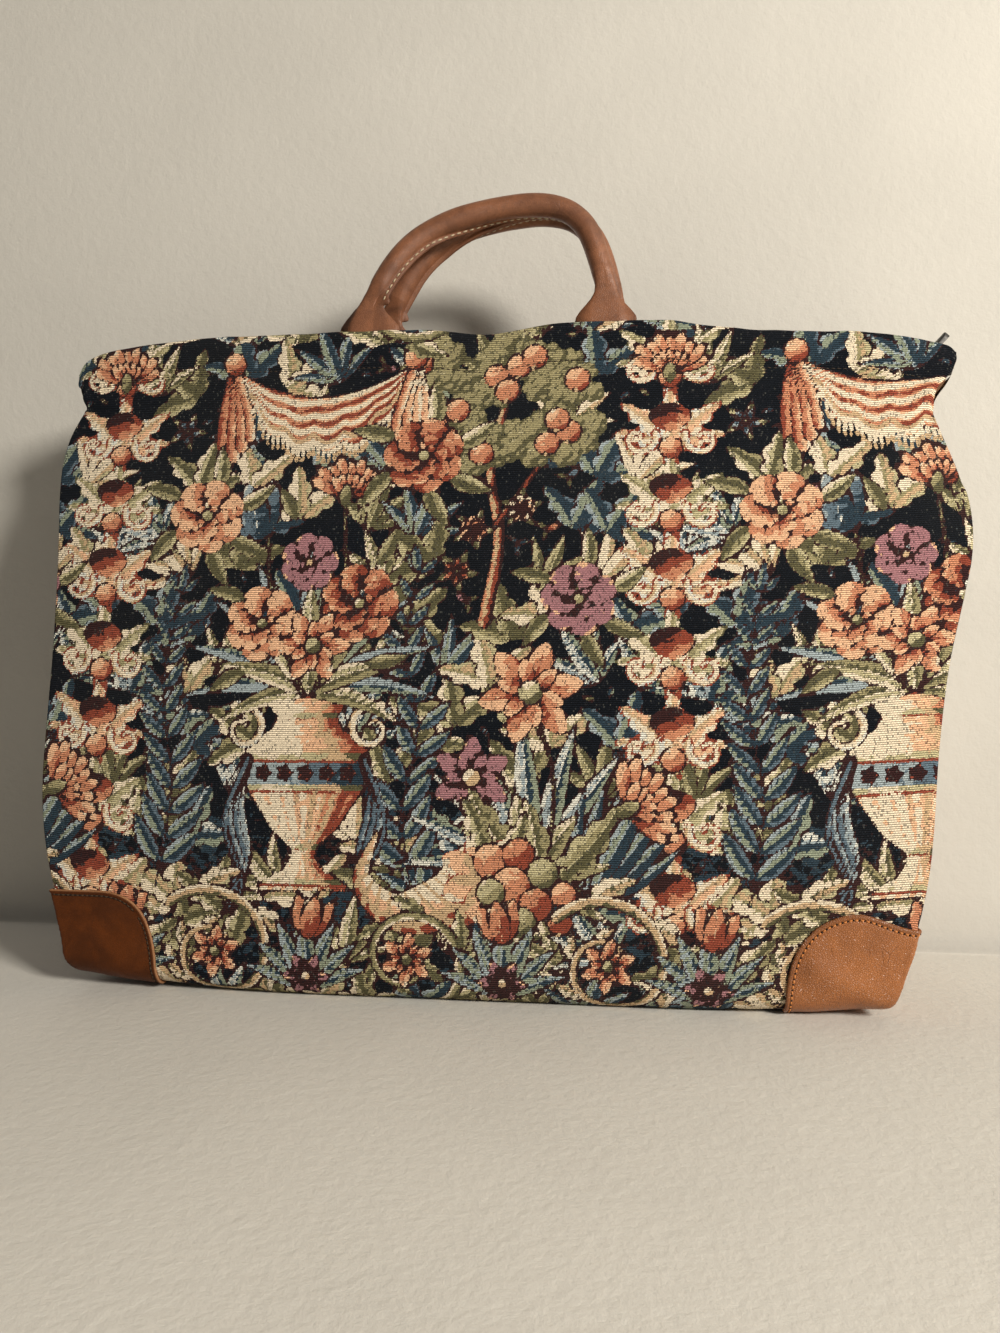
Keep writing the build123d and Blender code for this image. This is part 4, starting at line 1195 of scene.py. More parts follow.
def stitched(obj, path, normals, pitch, length, radius, look, sink=0.25, start=0.5):
    """Adds a row of sewn threads along a path to an object's mesh, in a given material."""
    path, normals = np.asarray(path, float), np.asarray(normals, float)
    run = run_along(path)
    sides, rings = 6, 5
    points, faces = [], []
    shares = np.linspace(-0.5, 0.5, rings)
    quads = grid_faces(rings, sides, closed=True)
    for k in range(int(run[-1] / pitch)):
        middle = (k + start) * pitch
        spots = np.column_stack([np.interp(middle + shares * length, run, path[:, a]) for a in range(3)])
        up = unit(np.array([np.interp(middle, run, normals[:, a]) for a in range(3)]))
        wide = np.cross(up, unit(spots[-1] - spots[0]))
        base = len(points)
        for share, spot in zip(shares, spots):
            narrowing = (2 * abs(share)) ** 3
            thick = radius * (1 - narrowing * 0.55)
            rise = radius * (0.75 - sink - narrowing * 0.9)
            for q in range(sides):
                turn = 2 * math.pi * q / sides
                raised = up * (rise + thick * 0.8 * math.sin(turn))
                points.append(spot + raised + wide * thick * math.cos(turn))
        faces += (quads + base).tolist()
        faces.append([base + q for q in reversed(range(sides))])
        faces.append([base + (rings - 1) * sides + q for q in range(sides)])
    threads = new_mesh(obj.name + " threads", points, faces, look)
    select_only(obj, threads)
    bpy.ops.object.join()


def cloth_panel(side, settings, fields, look, thread):
    """The front (-1) or back (1) panel: one sheet from the base's seam over the top edge."""
    step = settings.cloth_step if side < 0 else settings.cloth_step * 1.4
    grid, seam_row = panel_points(step)
    normal = unit(np.cross(np.gradient(grid, axis=1), np.gradient(grid, axis=0)))
    x, z = grid[..., 0] / MM, grid[..., 2] / MM
    lift = creases(x * -side, z, 11 if side < 0 else 47, settings.fullness)
    grid = grid + normal * lift[..., None] * MM
    left = [grid[:, 0] + np.array([-a, b, 0]) * MM for a, b in reversed(SIDE_ROLL)]
    right = [grid[:, -1] + np.array([a, b, 0]) * MM for a, b in SIDE_ROLL]
    grid = np.concatenate([np.stack(left, 1), grid, np.stack(right, 1)], 1)
    lumps = waves(301 - side, 10, 7.0, 45.0)(grid[-1, :, 0] / MM, 0.0)
    grid[-1, :, 2] += 0.45 * MM * settings.fullness * lumps
    top = [grid[-1] + np.array([0, a, b]) * MM for a, b in TOP_ROLL]
    grid = np.concatenate([grid, np.stack(top)], 0)
    v = run_along(grid) / MM
    v = v - v[seam_row][None]
    rows, columns = grid.shape[:2]
    rolled = np.concatenate([-ROLLED[::-1], np.zeros(columns - 2 * len(ROLLED)), ROLLED])
    u = (grid[..., 0] / MM + rolled[None]) * -side
    flat = grid.reshape(-1, 3).copy()
    flat[:, 1] *= -side
    name = "tapestry_front" if side < 0 else "tapestry_back"
    obj = new_mesh(name, flat, grid_faces(rows, columns, flip=side > 0), look)
    across, up = settings.pattern_shift
    give_yarns(obj, u.ravel() + across + (0 if side < 0 else 140), v.ravel() + up, fields)
    give_uv(obj, u.ravel(), v.ravel())
    inner = range(8, columns - 8)
    drop = v[rows - 8] - v
    line = [flat[int(np.argmin(np.abs(drop[:, c] - STITCH_DROP))) * columns + c] for c in inner]
    stitched(obj, line, [(0, side, 0.15)] * len(line), 3.4 * MM, 2.5 * MM, 0.38 * MM, thread)
    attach(obj, "bag")
    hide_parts("front_panel" if side < 0 else "back_panel")


def side_cloth(side, settings, fields, look):
    """A gusset, folded in between the panels."""
    name = "side_gusset_left" if side < 0 else "side_gusset_right"
    low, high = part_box(name)
    step = settings.cloth_step * 1.25
    rows, columns = int((high.z - low.z - 2 * MM) / step), int(0.128 / step)
    levels = np.linspace(low.z + 1.0 * MM, high.z - 0.3 * MM, rows)
    near_y, far_y = crossings(name, 2, 1, levels)
    s = np.linspace(0, 1, columns)
    y = (near_y[:, None] + 0.3 * MM) + s[None] * (far_y - near_y - 0.6 * MM)[:, None]
    height = np.repeat(levels[:, None], columns, 1)
    origin = np.stack([np.full(y.shape, side * 0.4), y, height], -1)
    grid = cast(tree_of(name), origin.reshape(-1, 3), (-side, 0, 0)).reshape(rows, columns, 3)
    grid = smoothed(filled(grid), 2)
    ripple = waves(83 if side < 0 else 91, 9, 26.0, 120.0)(grid[..., 1] / MM, grid[..., 2] / MM)
    grid[..., 0] += side * 0.6 * MM * settings.fullness * ripple * bell(s, 0.5, 0.4)[None]
    u = run_along(grid, 1) / MM
    u -= u[:, columns // 2][:, None]
    v = height / MM
    title = "tapestry_gusset_" + ("left" if side < 0 else "right")
    obj = new_mesh(title, grid.reshape(-1, 3), grid_faces(rows, columns, flip=side < 0), look)
    across = u.ravel() * side + (90 if side < 0 else 245)
    give_yarns(obj, across, v.ravel() + settings.pattern_shift[1], fields)
    give_uv(obj, grid[..., 1].ravel() / MM, v.ravel())
    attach(obj, "bag")
    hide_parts(name)


def base_cloth(settings, fields, look):
    """The base, sewn in along two seams under the bag."""
    low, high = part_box("base_panel")
    step = settings.cloth_step * 1.6
    columns, rows = int((high.x - low.x) / step), int((high.y - low.y) / step)
    x = np.linspace(low.x + 1.2 * MM, high.x - 1.2 * MM, columns)
    y = np.linspace(low.y + 0.1 * MM, high.y - 0.1 * MM, rows)
    X, Y = np.meshgrid(x, y)
    origin = np.stack([X, Y, np.full(X.shape, -0.1)], -1)
    grid = cast(tree_of("base_panel"), origin.reshape(-1, 3), (0, 0, 1)).reshape(rows, columns, 3)
    grid = smoothed(filled(grid), 1)
    obj = new_mesh("tapestry_base", grid.reshape(-1, 3), grid_faces(rows, columns, flip=True), look)
    give_yarns(obj, X.ravel() / MM + 40, Y.ravel() / MM + 210, fields)
    give_uv(obj, X.ravel() / MM, Y.ravel() / MM)
    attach(obj, "bag")
    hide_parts("base_panel")


# Leather corner patches


SEAM_INSET = 3.3 * MM  # from the rim of a corner patch to its stitches
RUN_OUT_X = 206.0  # x where the tan corners' top edge starts to fall away, mm


def merged_copy(name, title):
    """A copy of a CAD node with its corners joined up."""
    copy = bpy.data.objects.new(title, cad[name].data.copy())
    copy.matrix_world = cad[name].matrix_world
    bpy.context.scene.collection.objects.link(copy)
    copy.data.materials.clear()
    select_only(copy)
    bpy.ops.object.mode_set(mode="EDIT")
    bpy.ops.mesh.select_all(action="SELECT")
    bpy.ops.mesh.remove_doubles(threshold=0.000002)
    bpy.ops.mesh.normals_make_consistent(inside=False)
    bpy.ops.mesh.select_all(action="DESELECT")
    bpy.ops.object.mode_set(mode="OBJECT")
    return copy


def applied(obj, kind, **settings):
    """Adds a modifier and applies it at once."""
    modifier = obj.modifiers.new(kind.title(), kind)
    for key, value in settings.items():
        setattr(modifier, key, value)
    select_only(obj)
    bpy.ops.object.modifier_apply(modifier=modifier.name)


def remade(obj, voxel, passes):
    """Gives an object even, softened mesh squares of a given size."""
    applied(obj, "REMESH", mode="VOXEL", voxel_size=voxel, use_smooth_shade=True)
    applied(obj, "SMOOTH", factor=0.5, iterations=passes)


def corners_of(obj):
    co = np.empty(len(obj.data.vertices) * 3)
    obj.data.vertices.foreach_get("co", co)
    return co.reshape(-1, 3)


def move_corners(obj, co):
    obj.data.vertices.foreach_set("co", co.ravel())
    obj.data.update()


def part_way(value, start, length):
    """How far a value has come from a start over a length, from 0 to 1."""
    return np.clip((value - start) / length, 0.0, 1.0)


def eased(t):
    """A share that leaves 0 and reaches 1 softly."""
    return t * t * (3 - 2 * t)


def rim_edges(obj, skin):
    """Corner points of a patch, and the edges of its outer face along its rim."""
    co = corners_of(obj)
    raised = [(Vector(point) - skin.find_nearest(Vector(point))[0]).length > 1.0 * MM for point in co]
    rim, outer = set(), set()
    for polygon in obj.data.polygons:
        normal = skin.find_nearest(polygon.center)[1]
        if abs(normal.dot(polygon.normal)) < 0.55:
            rim.update(polygon.edge_keys)
        elif all(raised[i] for i in polygon.vertices):
            outer.update(polygon.edge_keys)
    return co, rim & outer


def chains(co, edges):
    """Runs of points along joined edges, longest first."""
    links = {}
    for a, b in edges:
        links.setdefault(a, []).append(b)
        links.setdefault(b, []).append(a)
    runs, used = [], set()
    for start in [k for k, v in links.items() if len(v) == 1] + list(links):
        if start in used:
            continue
        run = [start]
        used.add(start)
        while ahead := [n for n in links[run[-1]] if n not in used]:
            run.append(ahead[0])
            used.add(ahead[0])
        if len(run) > 2:
            if run[0] in links[run[-1]]:
                run.append(run[0])
            runs.append(co[run])
    return sorted(runs, key=len, reverse=True)


def even(run, spacing):
    """Points at an even spacing along a run."""
    length = run_along(run)
    at = np.linspace(0, length[-1], max(2, int(length[-1] / spacing)))
    return np.column_stack([np.interp(at, length, run[:, a]) for a in range(3)])


def lowered(point, skin):
    """A point on the tan corners, whose top edge falls away towards the side of the bag."""
    point = Vector(point)
    off = (point - skin.find_nearest(point)[0]).length
    fall = eased(part_way(point.x / MM, RUN_OUT_X, 38.0)) * part_way(point.z / MM, 0.0, 60.0) ** 1.5
    drop = 9.0 * MM * fall
    if drop < 0.05 * MM:
        return point
    moved = point - Vector((0, 0, drop))
    near, normal = skin.find_nearest(moved)[:2]
    away = moved - near
    away = away.normalized() if away.length > 0.3 * MM else normal
    return near + away * off


def patch_relief(x, y, height, rim, bright):
    """How far a patch stands off its flat form, from its place and distance to the rim, in mm."""
    puff = waves(131 if bright else 137, 10, 12.0, 60.0)
    lift = 0.35 * bell(rim, 1.5, 1.1) - 0.4 * bell(rim, 3.3, 0.75)
    lift += (0.35 + 0.45 * puff(x, height + y * 0.6)) * part_way(rim, 5, 10)
    if bright:
        # A soft ridge slants down to the foot, and one crease runs down the outer side
        inside = part_way(rim, 4, 7) * part_way(height, 2, 7)
        slant = (height - 27 + 0.47 * (x - 190)) / 1.1
        lift += inside * (1.9 * bell(slant, 0, 7.5) - 0.4 * bell(x - (height - 30) * 0.12, 234, 2.6))
    return lift


def corner_patch(name, title, settings, look, thread, hole_shade, bright):
    """One leather corner: a soft thick piece, ridged at its rim and sewn round it."""
    panel = "front_panel" if "front" in name else "back_panel"
    skin = tree_of("base_panel", "side_gusset_left", "side_gusset_right", panel)
    obj = merged_copy(name, title)
    runs = [even(run, 0.5 * MM) for run in chains(*rim_edges(obj, skin))]
    runs = [run for run in runs if len(run) > 50]
    if bright:
        runs = [np.array([lowered(point, skin)[:] for point in run]) for run in runs]
    border = np.concatenate(runs)
    tree = KDTree(len(border))
    for i, point in enumerate(border):
        tree.insert(point, i)
    tree.balance()
    remade(obj, 0.9 * MM, 3)
    mesh = obj.data
    if bright:
        for vertex in mesh.vertices:
            if vertex.co.x > RUN_OUT_X * MM:
                vertex.co = lowered(vertex.co, skin)
    co = corners_of(obj)
    rim = np.array([tree.find(point)[2] for point in co]) / MM
    away = co - np.array([skin.find_nearest(Vector(point))[0][:] for point in co])
    lift = patch_relief(*co.T / MM, rim, bright)
    lift[np.linalg.norm(away, axis=1) < 1.2 * MM] = 0
    move_corners(obj, co + unit(away) * lift[:, None] * MM)
    mesh.materials.append(look)
    give(obj, "rim", rim)
    surface = BVHTree.FromPolygons([v.co[:] for v in mesh.vertices], [p.vertices[:] for p in mesh.polygons])
    for run in runs:
        run = even(run, 1.2 * MM)
        line, normals = [], []
        for k in range(1, len(run) - 1):
            normal = np.array(skin.find_nearest(Vector(run[k]))[1])
            inward = unit(np.cross(normal, run[k + 1] - run[k - 1])) * SEAM_INSET
            # The stitches go on the side of the rim where the leather is nearer
            sides = [surface.find_nearest(Vector(run[k] + inward * sign)) for sign in (1, -1)]
            spot, facing = min(sides, key=lambda found: found[3])[:2]
            line.append(spot[:])
            normals.append(facing[:])
        if len(line) > 6:
            soft = np.array(line)
            soft[1:-1] = (soft[:-2] + soft[1:-1] + soft[2:]) / 3
            pitch = settings.stitch_pitch
            stitched(obj, soft, normals, pitch, pitch * 0.68, 0.52 * MM, thread, 0.0)
            # Dark short pieces between the stitches: painted shade in the needle holes
            stitched(obj, soft, normals, pitch, pitch * 0.34, 0.66 * MM, hole_shade, 0.55, 0.0)
    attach(obj, "bag")
    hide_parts(name)


# Rolled handles


# The grip's middle line: share of the way between the tabs, and height, mm
GRIP = (
    (0.0, 0.0), (0.0, 7.5), (0.004, 15.0), (0.018, 22.5), (0.07, 38.5), (0.137, 52.0), (0.221, 63.0),
    (0.328, 71.3), (0.464, 76.8), (0.613, 80.0), (0.735, 79.6), (0.83, 75.6), (0.895, 67.8),
    (0.938, 57.0), (0.968, 44.0), (0.992, 30.5), (1.0, 22.5), (1.0, 15.0), (1.0, 7.5), (1.0, 0.0),
)
# From the flat tab through the neck to the roll: distance from the end and the measure there, mm
HALF_WIDTHS = (
    (0, 18.4), (1.5, 19.3), (4, 18.7), (8, 15.8), (12, 12.3),
    (16, 9.1), (20, 7.2), (26, 6.4), (33, 6.8), (44, 7.0),
)
HALF_THICKS = ((0, 1.2), (3, 1.2), (17, 1.3), (22, 2.1), (27, 4.0), (33, 6.1), (44, 6.9))
FLANGES = ((17, 0.0), (19.5, 0.5), (22, 4.4), (24, 4.7), (27, 2.4), (40, 2.9), (60, 2.7))
# How square the section is there, 2 being an ellipse
SQUARENESS = ((0, 7.0), (15, 5.0), (22, 3.6), (30, 2.5), (40, 2.0))
# Turn of the seam round the grip by share of its length
SEAM_TURN = ((0, 0.3), (0.12, 0.22), (0.3, 0.0), (0.42, -0.7), (0.55, -1.1), (0.75, -1.3), (1.0, -1.3))
HANDLE_FOOT = np.array([0, -16.69, 407.3])  # where the handle's plane meets the tabs' lower ends, mm
UPWARDS, OUTWARDS = np.array([0, 0.1155, 0.9933]), np.array([0, -0.9933, 0.1155])
BACK_SHIFT = np.array([5.0 * MM, 0, 0])  # the back handle stands a little to the right


def read_off(at, table):
    return np.interp(at, *zip(*table))


def on_handle(flat, out):
    """Directions in the bag's axes from places in the handle's leaning plane."""
    return flat[..., :1] * np.array([1.0, 0, 0]) + flat[..., 1:] * UPWARDS + out[..., None] * OUTWARDS


def section(theta, a, b, n):
    """Radius of a rounded section with half sizes a and b, at an angle."""
    return (np.abs(np.cos(theta) / a) ** n + np.abs(np.sin(theta) / b) ** n) ** (-1 / n)


def grip_line():
    """The middle of the front handle in its own plane: points, headings and run, in mm."""
    points = curve(*[(TABS[0] + x * (TABS[1] - TABS[0]), h) for x, h in GRIP], n=400)
    for _ in range(30):
        points[1:-1] = (points[:-2] + 2 * points[1:-1] + points[2:]) / 4
    return points, unit(np.gradient(points, axis=0)), run_along(points)


def rolled_handle(side, look, thread):
    """A strip of leather, flat at its tabs and rolled round a cord between them."""
    points, ahead, run = grip_line()
    total = run[-1]
    stops = [np.arange(0, 60, 0.7), np.arange(60, total - 60, 1.3), np.arange(total - 60, total, 0.7)]
    dense = np.concatenate([*stops, [total]])
    centre = np.column_stack([np.interp(dense, run, points[:, k]) for k in (0, 1)])
    tangent = unit(np.column_stack([np.interp(dense, run, ahead[:, k]) for k in (0, 1)]))
    inward = np.column_stack([tangent[:, 1], -tangent[:, 0]])[:, None]
    centre = centre[:, None]
    # One row for each station along the strip, one column for each point round it
    along = dense[:, None]
    end = np.minimum(along, total - along)
    a, b = read_off(end, HALF_WIDTHS), read_off(end, HALF_THICKS)
    n, flange = read_off(end, SQUARENESS), read_off(end, FLANGES)
    lean = read_off(along / total, SEAM_TURN)
    slack = waves(171 if side < 0 else 173, 8, 14.0, 60.0)
    ridge = waves(177, 10, 7.0, 24.0)
    count = 72
    spread = np.linspace(-1, 1, count, endpoint=False)
    off = np.sign(spread) * math.pi * (0.25 * np.abs(spread) + 0.75 * np.abs(spread) ** 1.8)
    theta = lean + off
    soft = 1 + 0.035 * slack(theta * 7.0, along) * part_way(end, 0, 30)
    soft += 0.018 * ridge(theta * 6.0, along * 0.5) * part_way(end, 15, 15)
    radius = section(theta, a, b, n) * soft + flange * np.exp(-((off / 0.17) ** 4))
    radius -= 1.5 * bell(off, 0.42, 0.13) * bell(end, 25, 5)
    place = centre + inward * (radius * np.cos(theta))[..., None]
    grid = (HANDLE_FOOT + on_handle(place, radius * np.sin(theta))) * MM
    # The threads follow the flange, outside the tabs
    turn = lean + 0.165
    r = section(turn, a, b, n) + flange * 0.42
    seam = HANDLE_FOOT + on_handle(centre + inward * (r * np.cos(turn))[..., None], r * np.sin(turn))
    normals = on_handle(inward * np.cos(turn + 1.35)[..., None], np.sin(turn + 1.35))
    sewn = end[:, 0] > 22
    seam, normals = seam[sewn, 0] * MM, normals[sewn, 0]
    stations = len(grid)
    flat = np.concatenate([grid.reshape(-1, 3), [grid[0].mean(0), grid[-1].mean(0)]])
    faces = grid_faces(stations, count, closed=True).tolist()
    first, last = stations * count, (stations - 1) * count
    for q in range(count):
        after = (q + 1) % count
        faces += [(first, after, q), (first + 1, last + q, last + after)]
    if side > 0:
        flat = flat * (1, -1, 1) + BACK_SHIFT
        seam = seam * (1, -1, 1) + BACK_SHIFT
        normals = normals * (1, -1, 1)
        faces = [face[::-1] for face in faces]
    obj = new_mesh("rolled_handle_" + ("front" if side < 0 else "back"), flat, faces, look)
    give(obj, "rim", np.concatenate([np.tile(np.abs(off * 7.0), stations), [0, 0]]))
    stitched(obj, seam, normals, 4.4 * MM, 3.0 * MM, 0.5 * MM, thread, sink=0.1)
    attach(obj, "front_handle" if side < 0 else "back_handle")
    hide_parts("handle_front" if side < 0 else "handle_back")


# Zip


PULL_SLANT = math.radians(47.0)  # of the zip's pull at rest
CROWN, TIP = 2.4 * MM, 2.2 * MM  # how much thicker and longer the pull gets
PULL_HALF_WIDTH = 4.3 * MM


def zip_pull_bar(look):
    """The zip's pull, crowned on its upper side and thickest at its rounded tip."""
    obj = merged_copy("zip_pull", "zip_pull_bar")
    remade(obj, 0.28 * MM, 2)
    co = corners_of(obj)
    ahead = np.array([math.cos(PULL_SLANT), 0, math.sin(PULL_SLANT)])
    above = np.array([-math.sin(PULL_SLANT), 0, math.cos(PULL_SLANT)])
    along, height = co @ ahead, co @ above
    way = (along - along.min()) / np.ptp(along)
    wide_end = height[way > 0.6]
    middle = (wide_end.min() + wide_end.max()) / 2
    rounding = np.sqrt(np.clip(1 - (co[:, 1] / PULL_HALF_WIDTH) ** 2, 0, 1))
    crown = eased(part_way(way, 0.42, 0.3)) * rounding * part_way(height, middle, 0.8 * MM) * CROWN
    move_corners(obj, co + above * crown[:, None] + ahead * (part_way(way, 0.6, 0.4) * TIP)[:, None])
    obj.data.materials.append(look)
    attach(obj, "pull")
    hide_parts("zip_pull")


# Add-on


class CarpetBagSettings(bpy.types.PropertyGroup):
    """Sizes and colours of the bag's dressing."""

    cloth_step: bpy.props.FloatProperty(
        name="Cloth Step", description="Size of the cloth's mesh squares",
        default=1.65 * MM, min=1.2 * MM, unit="LENGTH", precision=5,
    )
    fullness: bpy.props.FloatProperty(
        name="Fullness", description="Depth of the creases and folds in the cloth",
        default=1.0, min=0.0, max=1.5, subtype="FACTOR",
    )
    rib_pitch: bpy.props.FloatProperty(
        name="Rib Pitch", description="Distance between the woven ribs",
        default=1.25 * MM, min=0.5 * MM, unit="LENGTH", precision=5,
    )
    raggedness: bpy.props.FloatProperty(
        name="Raggedness", description="How far threads stray over a motif's edge",
        default=0.3, min=0.0, max=1.0, subtype="FACTOR",
    )
    fade: bpy.props.FloatProperty(
        name="Fade", description="Dustiness of the cloth", default=0.015, min=0.0, max=1.0, subtype="FACTOR",
    )
    pattern_shift: bpy.props.FloatVectorProperty(
        name="Pattern Shift", description="Place of the repeat on the front, in millimetres",
        default=(190.0, 22.0), size=2,
    )
    stitch_pitch: bpy.props.FloatProperty(
        name="Stitch Pitch", description="Length of one stitch on the leather corners",
        default=3.1 * MM, min=2.0 * MM, unit="LENGTH", precision=5,
    )
    tan_leather: bpy.props.FloatVectorProperty(
        name="Tan Leather", description="Light shade of the right corners",
        default=(0.42, 0.155, 0.05), size=3, subtype="COLOR", min=0, max=1,
    )
    dark_leather: bpy.props.FloatVectorProperty(
        name="Dark Leather", description="Light shade of the left corners",
        default=(0.122, 0.031, 0.005), size=3, subtype="COLOR", min=0, max=1,
    )
    handle_leather: bpy.props.FloatVectorProperty(
        name="Handle Leather", description="Light shade of the handles",
        default=(0.3, 0.12, 0.055), size=3, subtype="COLOR", min=0, max=1,
    )
    metal: bpy.props.FloatVectorProperty(
        name="Metal", description="Colour of the zip's teeth, slider and pull",
        default=(0.1, 0.095, 0.09), size=3, subtype="COLOR", min=0, max=1,
    )


class CarpetBagStageSettings(bpy.types.PropertyGroup):
    """Wall, floor and light."""

    wall: bpy.props.FloatVectorProperty(
        name="Wall", description="Colour of the wall and floor",
        default=(0.605, 0.578, 0.522), size=3, subtype="COLOR", min=0, max=1,
    )
    key_power: bpy.props.FloatProperty(
        name="Key Power", description="Power of the main light, in watts", default=47.5, min=0.0,
    )
    fill_power: bpy.props.FloatProperty(
        name="Fill Power", description="Power of the soft light, in watts", default=0.9, min=0.0,
    )
    back_power: bpy.props.FloatProperty(
        name="Back Power", description="Power of the light behind, in watts", default=9.0, min=0.0,
    )
    ambient: bpy.props.FloatProperty(
        name="Ambient", description="Strength of the room's light", default=0.12, min=0.0,
    )


class CARPETBAG_OT_cloth(bpy.types.Operator):
    """Lay the tapestry panels, gussets and base over the frame"""

    bl_idname = "carpet_bag.cloth"
    bl_label = "Tapestry"

    def execute(self, context):
        settings = context.scene.carpet_bag
        fields = yarn_fields()
        look = tapestry_material(settings)
        thread = thread_material("Brown thread", (0.05, 0.035, 0.025))
        for side in (-1, 1):
            cloth_panel(side, settings, fields, look, thread)
            side_cloth(side, settings, fields, look)
        base_cloth(settings, fields, look)
        return {"FINISHED"}


class CARPETBAG_OT_corners(bpy.types.Operator):
    """Form the leather corners and sew them round"""

    bl_idname = "carpet_bag.corners"
    bl_label = "Leather Corners"

    def execute(self, context):
        settings = context.scene.carpet_bag
        tan = leather_material(
            "Tan leather", settings.tan_leather, (0.2, 0.065, 0.018), 0.5, 2.3, 0.19,
            ((0.16, 0.055, 0.018), 5.0, 0.55),
        )
        dark = leather_material(
            "Dark leather", settings.dark_leather, (0.044, 0.012, 0.003), 0.8, 1.2, 0.0,
            ((0.42, 0.21, 0.1), 1.5, 0.85), 0.14,
        )
        orange = thread_material("Orange thread", (0.72, 0.27, 0.075))
        brown = thread_material("Dark thread", (0.07, 0.04, 0.02))
        # Near-black material for the painted shade in the needle holes
        hole_shade = thread_material("Needle hole shade", (0.018, 0.008, 0.004))
        for depth in ("front", "back"):
            for end, look, thread in (("right", tan, orange), ("left", dark, brown)):
                place = depth + "_" + end
                title = "leather_corner_" + place
                corner_patch("corner_patch_" + place, title, settings, look, thread, hole_shade, end == "right")
        return {"FINISHED"}


class CARPETBAG_OT_handles(bpy.types.Operator):
    """Roll the two leather handles"""

    bl_idname = "carpet_bag.handles"
    bl_label = "Rolled Handles"

    def execute(self, context):
        settings = context.scene.carpet_bag
        look = leather_material(
            "Handle leather", settings.handle_leather, (0.085, 0.03, 0.014), 0.75, 1.0, 0.05,
            ((0.12, 0.045, 0.02), 1.6, 0.5),
        )
        cream = thread_material("Cream thread", (0.62, 0.5, 0.33))
        for side in (-1, 1):
            rolled_handle(side, look, cream)
        return {"FINISHED"}


class CARPETBAG_OT_fittings(bpy.types.Operator):
    """Finish the zip, its tapes, the facings and the lining"""

    bl_idname = "carpet_bag.fittings"
    bl_label = "Zip and Lining"

    def execute(self, context):
        metal = metal_material("Dark metal", context.scene.carpet_bag.metal)
        looks = {
            metal: "zip_teeth_front zip_teeth_back zip_bottom_stop zip_top_stops zip_slider zip_pull",
            cloth_material("Zip tape", (0.022, 0.02, 0.022), 1900.0):
                "zip_tape_front zip_tape_back zip_end_fold_left zip_end_fold_right",
            cloth_material("Facing cloth", (0.045, 0.038, 0.034), 1300.0): "top_facing_front top_facing_back",
            cloth_material("Lining cloth", (0.16, 0.085, 0.045), 1500.0): "lining",
        }
        for look, names in looks.items():
            for name in names.split():
                for slot in cad[name].material_slots:
                    slot.material = look
        zip_pull_bar(metal)
        return {"FINISHED"}


class CARPETBAG_OT_stage(bpy.types.Operator):
    """Set the wall, floor, lights and camera"""

    bl_idname = "carpet_bag.stage"
    bl_label = "Stage"

    def execute(self, context):
        stage = context.scene.carpet_bag_stage
        backdrop(stage)
        lights(stage)
        camera()
        return {"FINISHED"}


class CARPETBAG_PT_panel(bpy.types.Panel):
    """Carpet bag tools"""

    bl_label = "Carpet Bag"
    bl_idname = "CARPETBAG_PT_panel"
    bl_space_type = "VIEW_3D"
    bl_region_type = "UI"
    bl_category = "Carpet Bag"

    def draw(self, context):
        layout = self.layout
        for group in (context.scene.carpet_bag, context.scene.carpet_bag_stage):
            column = layout.column()
            for name in group.__annotations__:
                column.prop(group, name)
        for operator in OPERATORS:
            layout.operator(operator.bl_idname)


# Stage


WALL_Y, WALL_FOOT = 0.088, 0.014  # place of the wall and radius of its rounded foot
STAGE_HALF_WIDTH = 2.4
# Name, size, place and colour of each lamp
LAMPS = (
    ("Key", 0.4, (1.35, -1.35, 0.95), (1.0, 0.95, 0.87)),
    ("Fill", 1.6, (-1.3, -1.6, 0.7), (0.95, 0.97, 1.0)),
    ("Back", 1.6, (-0.9, 1.9, 0.6), (1.0, 0.97, 0.93)),
)
LAMP_AIM = Vector((0, 0, 0.2))
CAMERA_TURN, CAMERA_AWAY = math.radians(7.0), 0.642
CAMERA_AIM_X, CAMERA_HEIGHT = 0.0034, 0.1956


def backdrop(stage):
    """One sheet: floor in front, wall behind, with a rounded foot between them."""
    spots = [(x, y, -0.0011) for y in (0.05, 3.0) for x in (-STAGE_HALF_WIDTH, STAGE_HALF_WIDTH)]
    new_mesh("floor_behind", spots, grid_faces(2, 2), wall_material("Floor", stage.wall))
    start = WALL_Y - WALL_FOOT
    profile = [(-3.0, 0.0), (-1.0, 0.0), (-0.3, 0.0), (start, 0.0)]
    for k in range(1, 9):
        turn = math.pi / 2 * k / 8
        profile.append((start + WALL_FOOT * math.sin(turn), WALL_FOOT - WALL_FOOT * math.cos(turn)))
    profile += [(WALL_Y, 0.4), (WALL_Y, 1.2), (WALL_Y, 2.6)]
    across = np.linspace(-STAGE_HALF_WIDTH, STAGE_HALF_WIDTH, 9)
    points = [(x, y, z - 0.0006) for y, z in profile for x in across]
    faces = grid_faces(len(profile), len(across))
    new_mesh("wall_and_floor", points, faces, wall_material("Plaster", stage.wall))


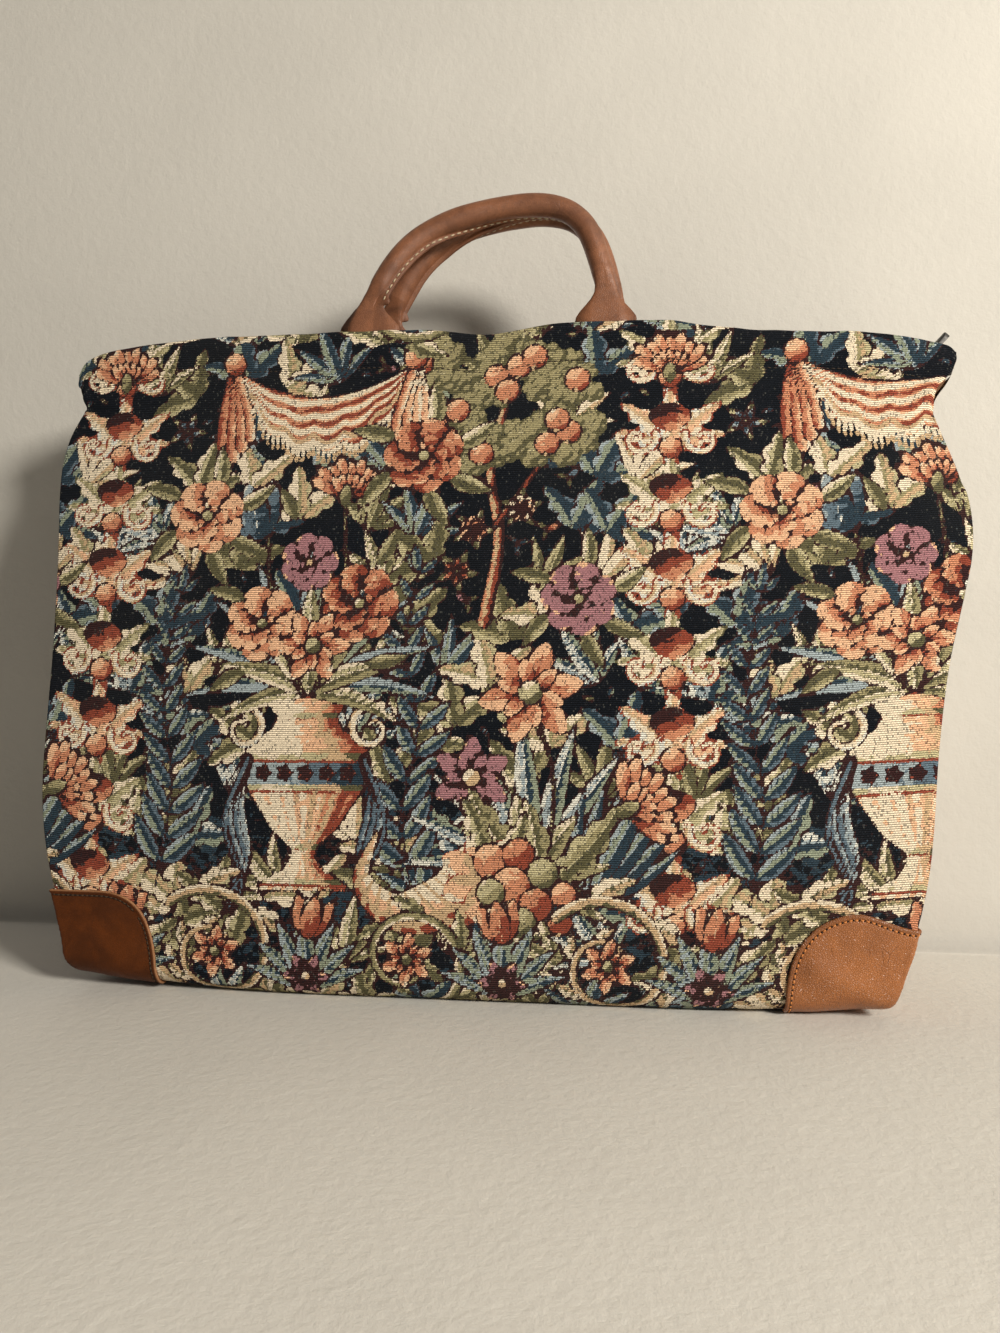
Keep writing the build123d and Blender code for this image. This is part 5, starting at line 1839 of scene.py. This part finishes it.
def lights(stage):
    powers = stage.key_power, stage.fill_power, stage.back_power
    for (name, size, place, colour), power in zip(LAMPS, powers):
        data = bpy.data.lights.new(name, "AREA")
        data.energy, data.size, data.color = power, size, colour
        obj = bpy.data.objects.new(name, data)
        obj.location = place
        obj.rotation_euler = (LAMP_AIM - Vector(place)).to_track_quat("-Z", "Y").to_euler()
        bpy.context.scene.collection.objects.link(obj)
    world = bpy.data.worlds.new("Room")
    world.use_nodes = True
    back = world.node_tree.nodes["Background"]
    back.inputs[0].default_value = (1.0, 0.96, 0.9, 1)
    back.inputs[1].default_value = stage.ambient
    bpy.context.scene.world = world
    bpy.context.scene.view_settings.view_transform = "Standard"


def camera():
    data = bpy.data.cameras.new("Camera")
    data.lens, data.sensor_width = 27.03, 36.0
    obj = bpy.data.objects.new("Camera", data)
    ahead, across = CAMERA_AWAY * math.cos(CAMERA_TURN), CAMERA_AWAY * math.sin(CAMERA_TURN)
    obj.location = (CAMERA_AIM_X + across, -ahead, CAMERA_HEIGHT)
    obj.rotation_euler = (math.pi / 2, 0, CAMERA_TURN)
    bpy.context.scene.collection.objects.link(obj)
    bpy.context.scene.camera = obj


OPERATORS = (
    CARPETBAG_OT_cloth, CARPETBAG_OT_corners, CARPETBAG_OT_handles, CARPETBAG_OT_fittings, CARPETBAG_OT_stage,
)
CLASSES = (CarpetBagSettings, CarpetBagStageSettings, *OPERATORS, CARPETBAG_PT_panel)


def register():
    for item in CLASSES:
        bpy.utils.register_class(item)
    bpy.types.Scene.carpet_bag = bpy.props.PointerProperty(type=CarpetBagSettings)
    bpy.types.Scene.carpet_bag_stage = bpy.props.PointerProperty(type=CarpetBagStageSettings)


def unregister():
    del bpy.types.Scene.carpet_bag_stage
    del bpy.types.Scene.carpet_bag
    for item in reversed(CLASSES):
        bpy.utils.unregister_class(item)


def main():
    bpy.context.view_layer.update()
    register()
    bpy.ops.carpet_bag.cloth()
    bpy.ops.carpet_bag.corners()
    bpy.ops.carpet_bag.handles()
    bpy.ops.carpet_bag.fittings()
    bpy.ops.carpet_bag.stage()


if __name__ == "__main__":
    main()
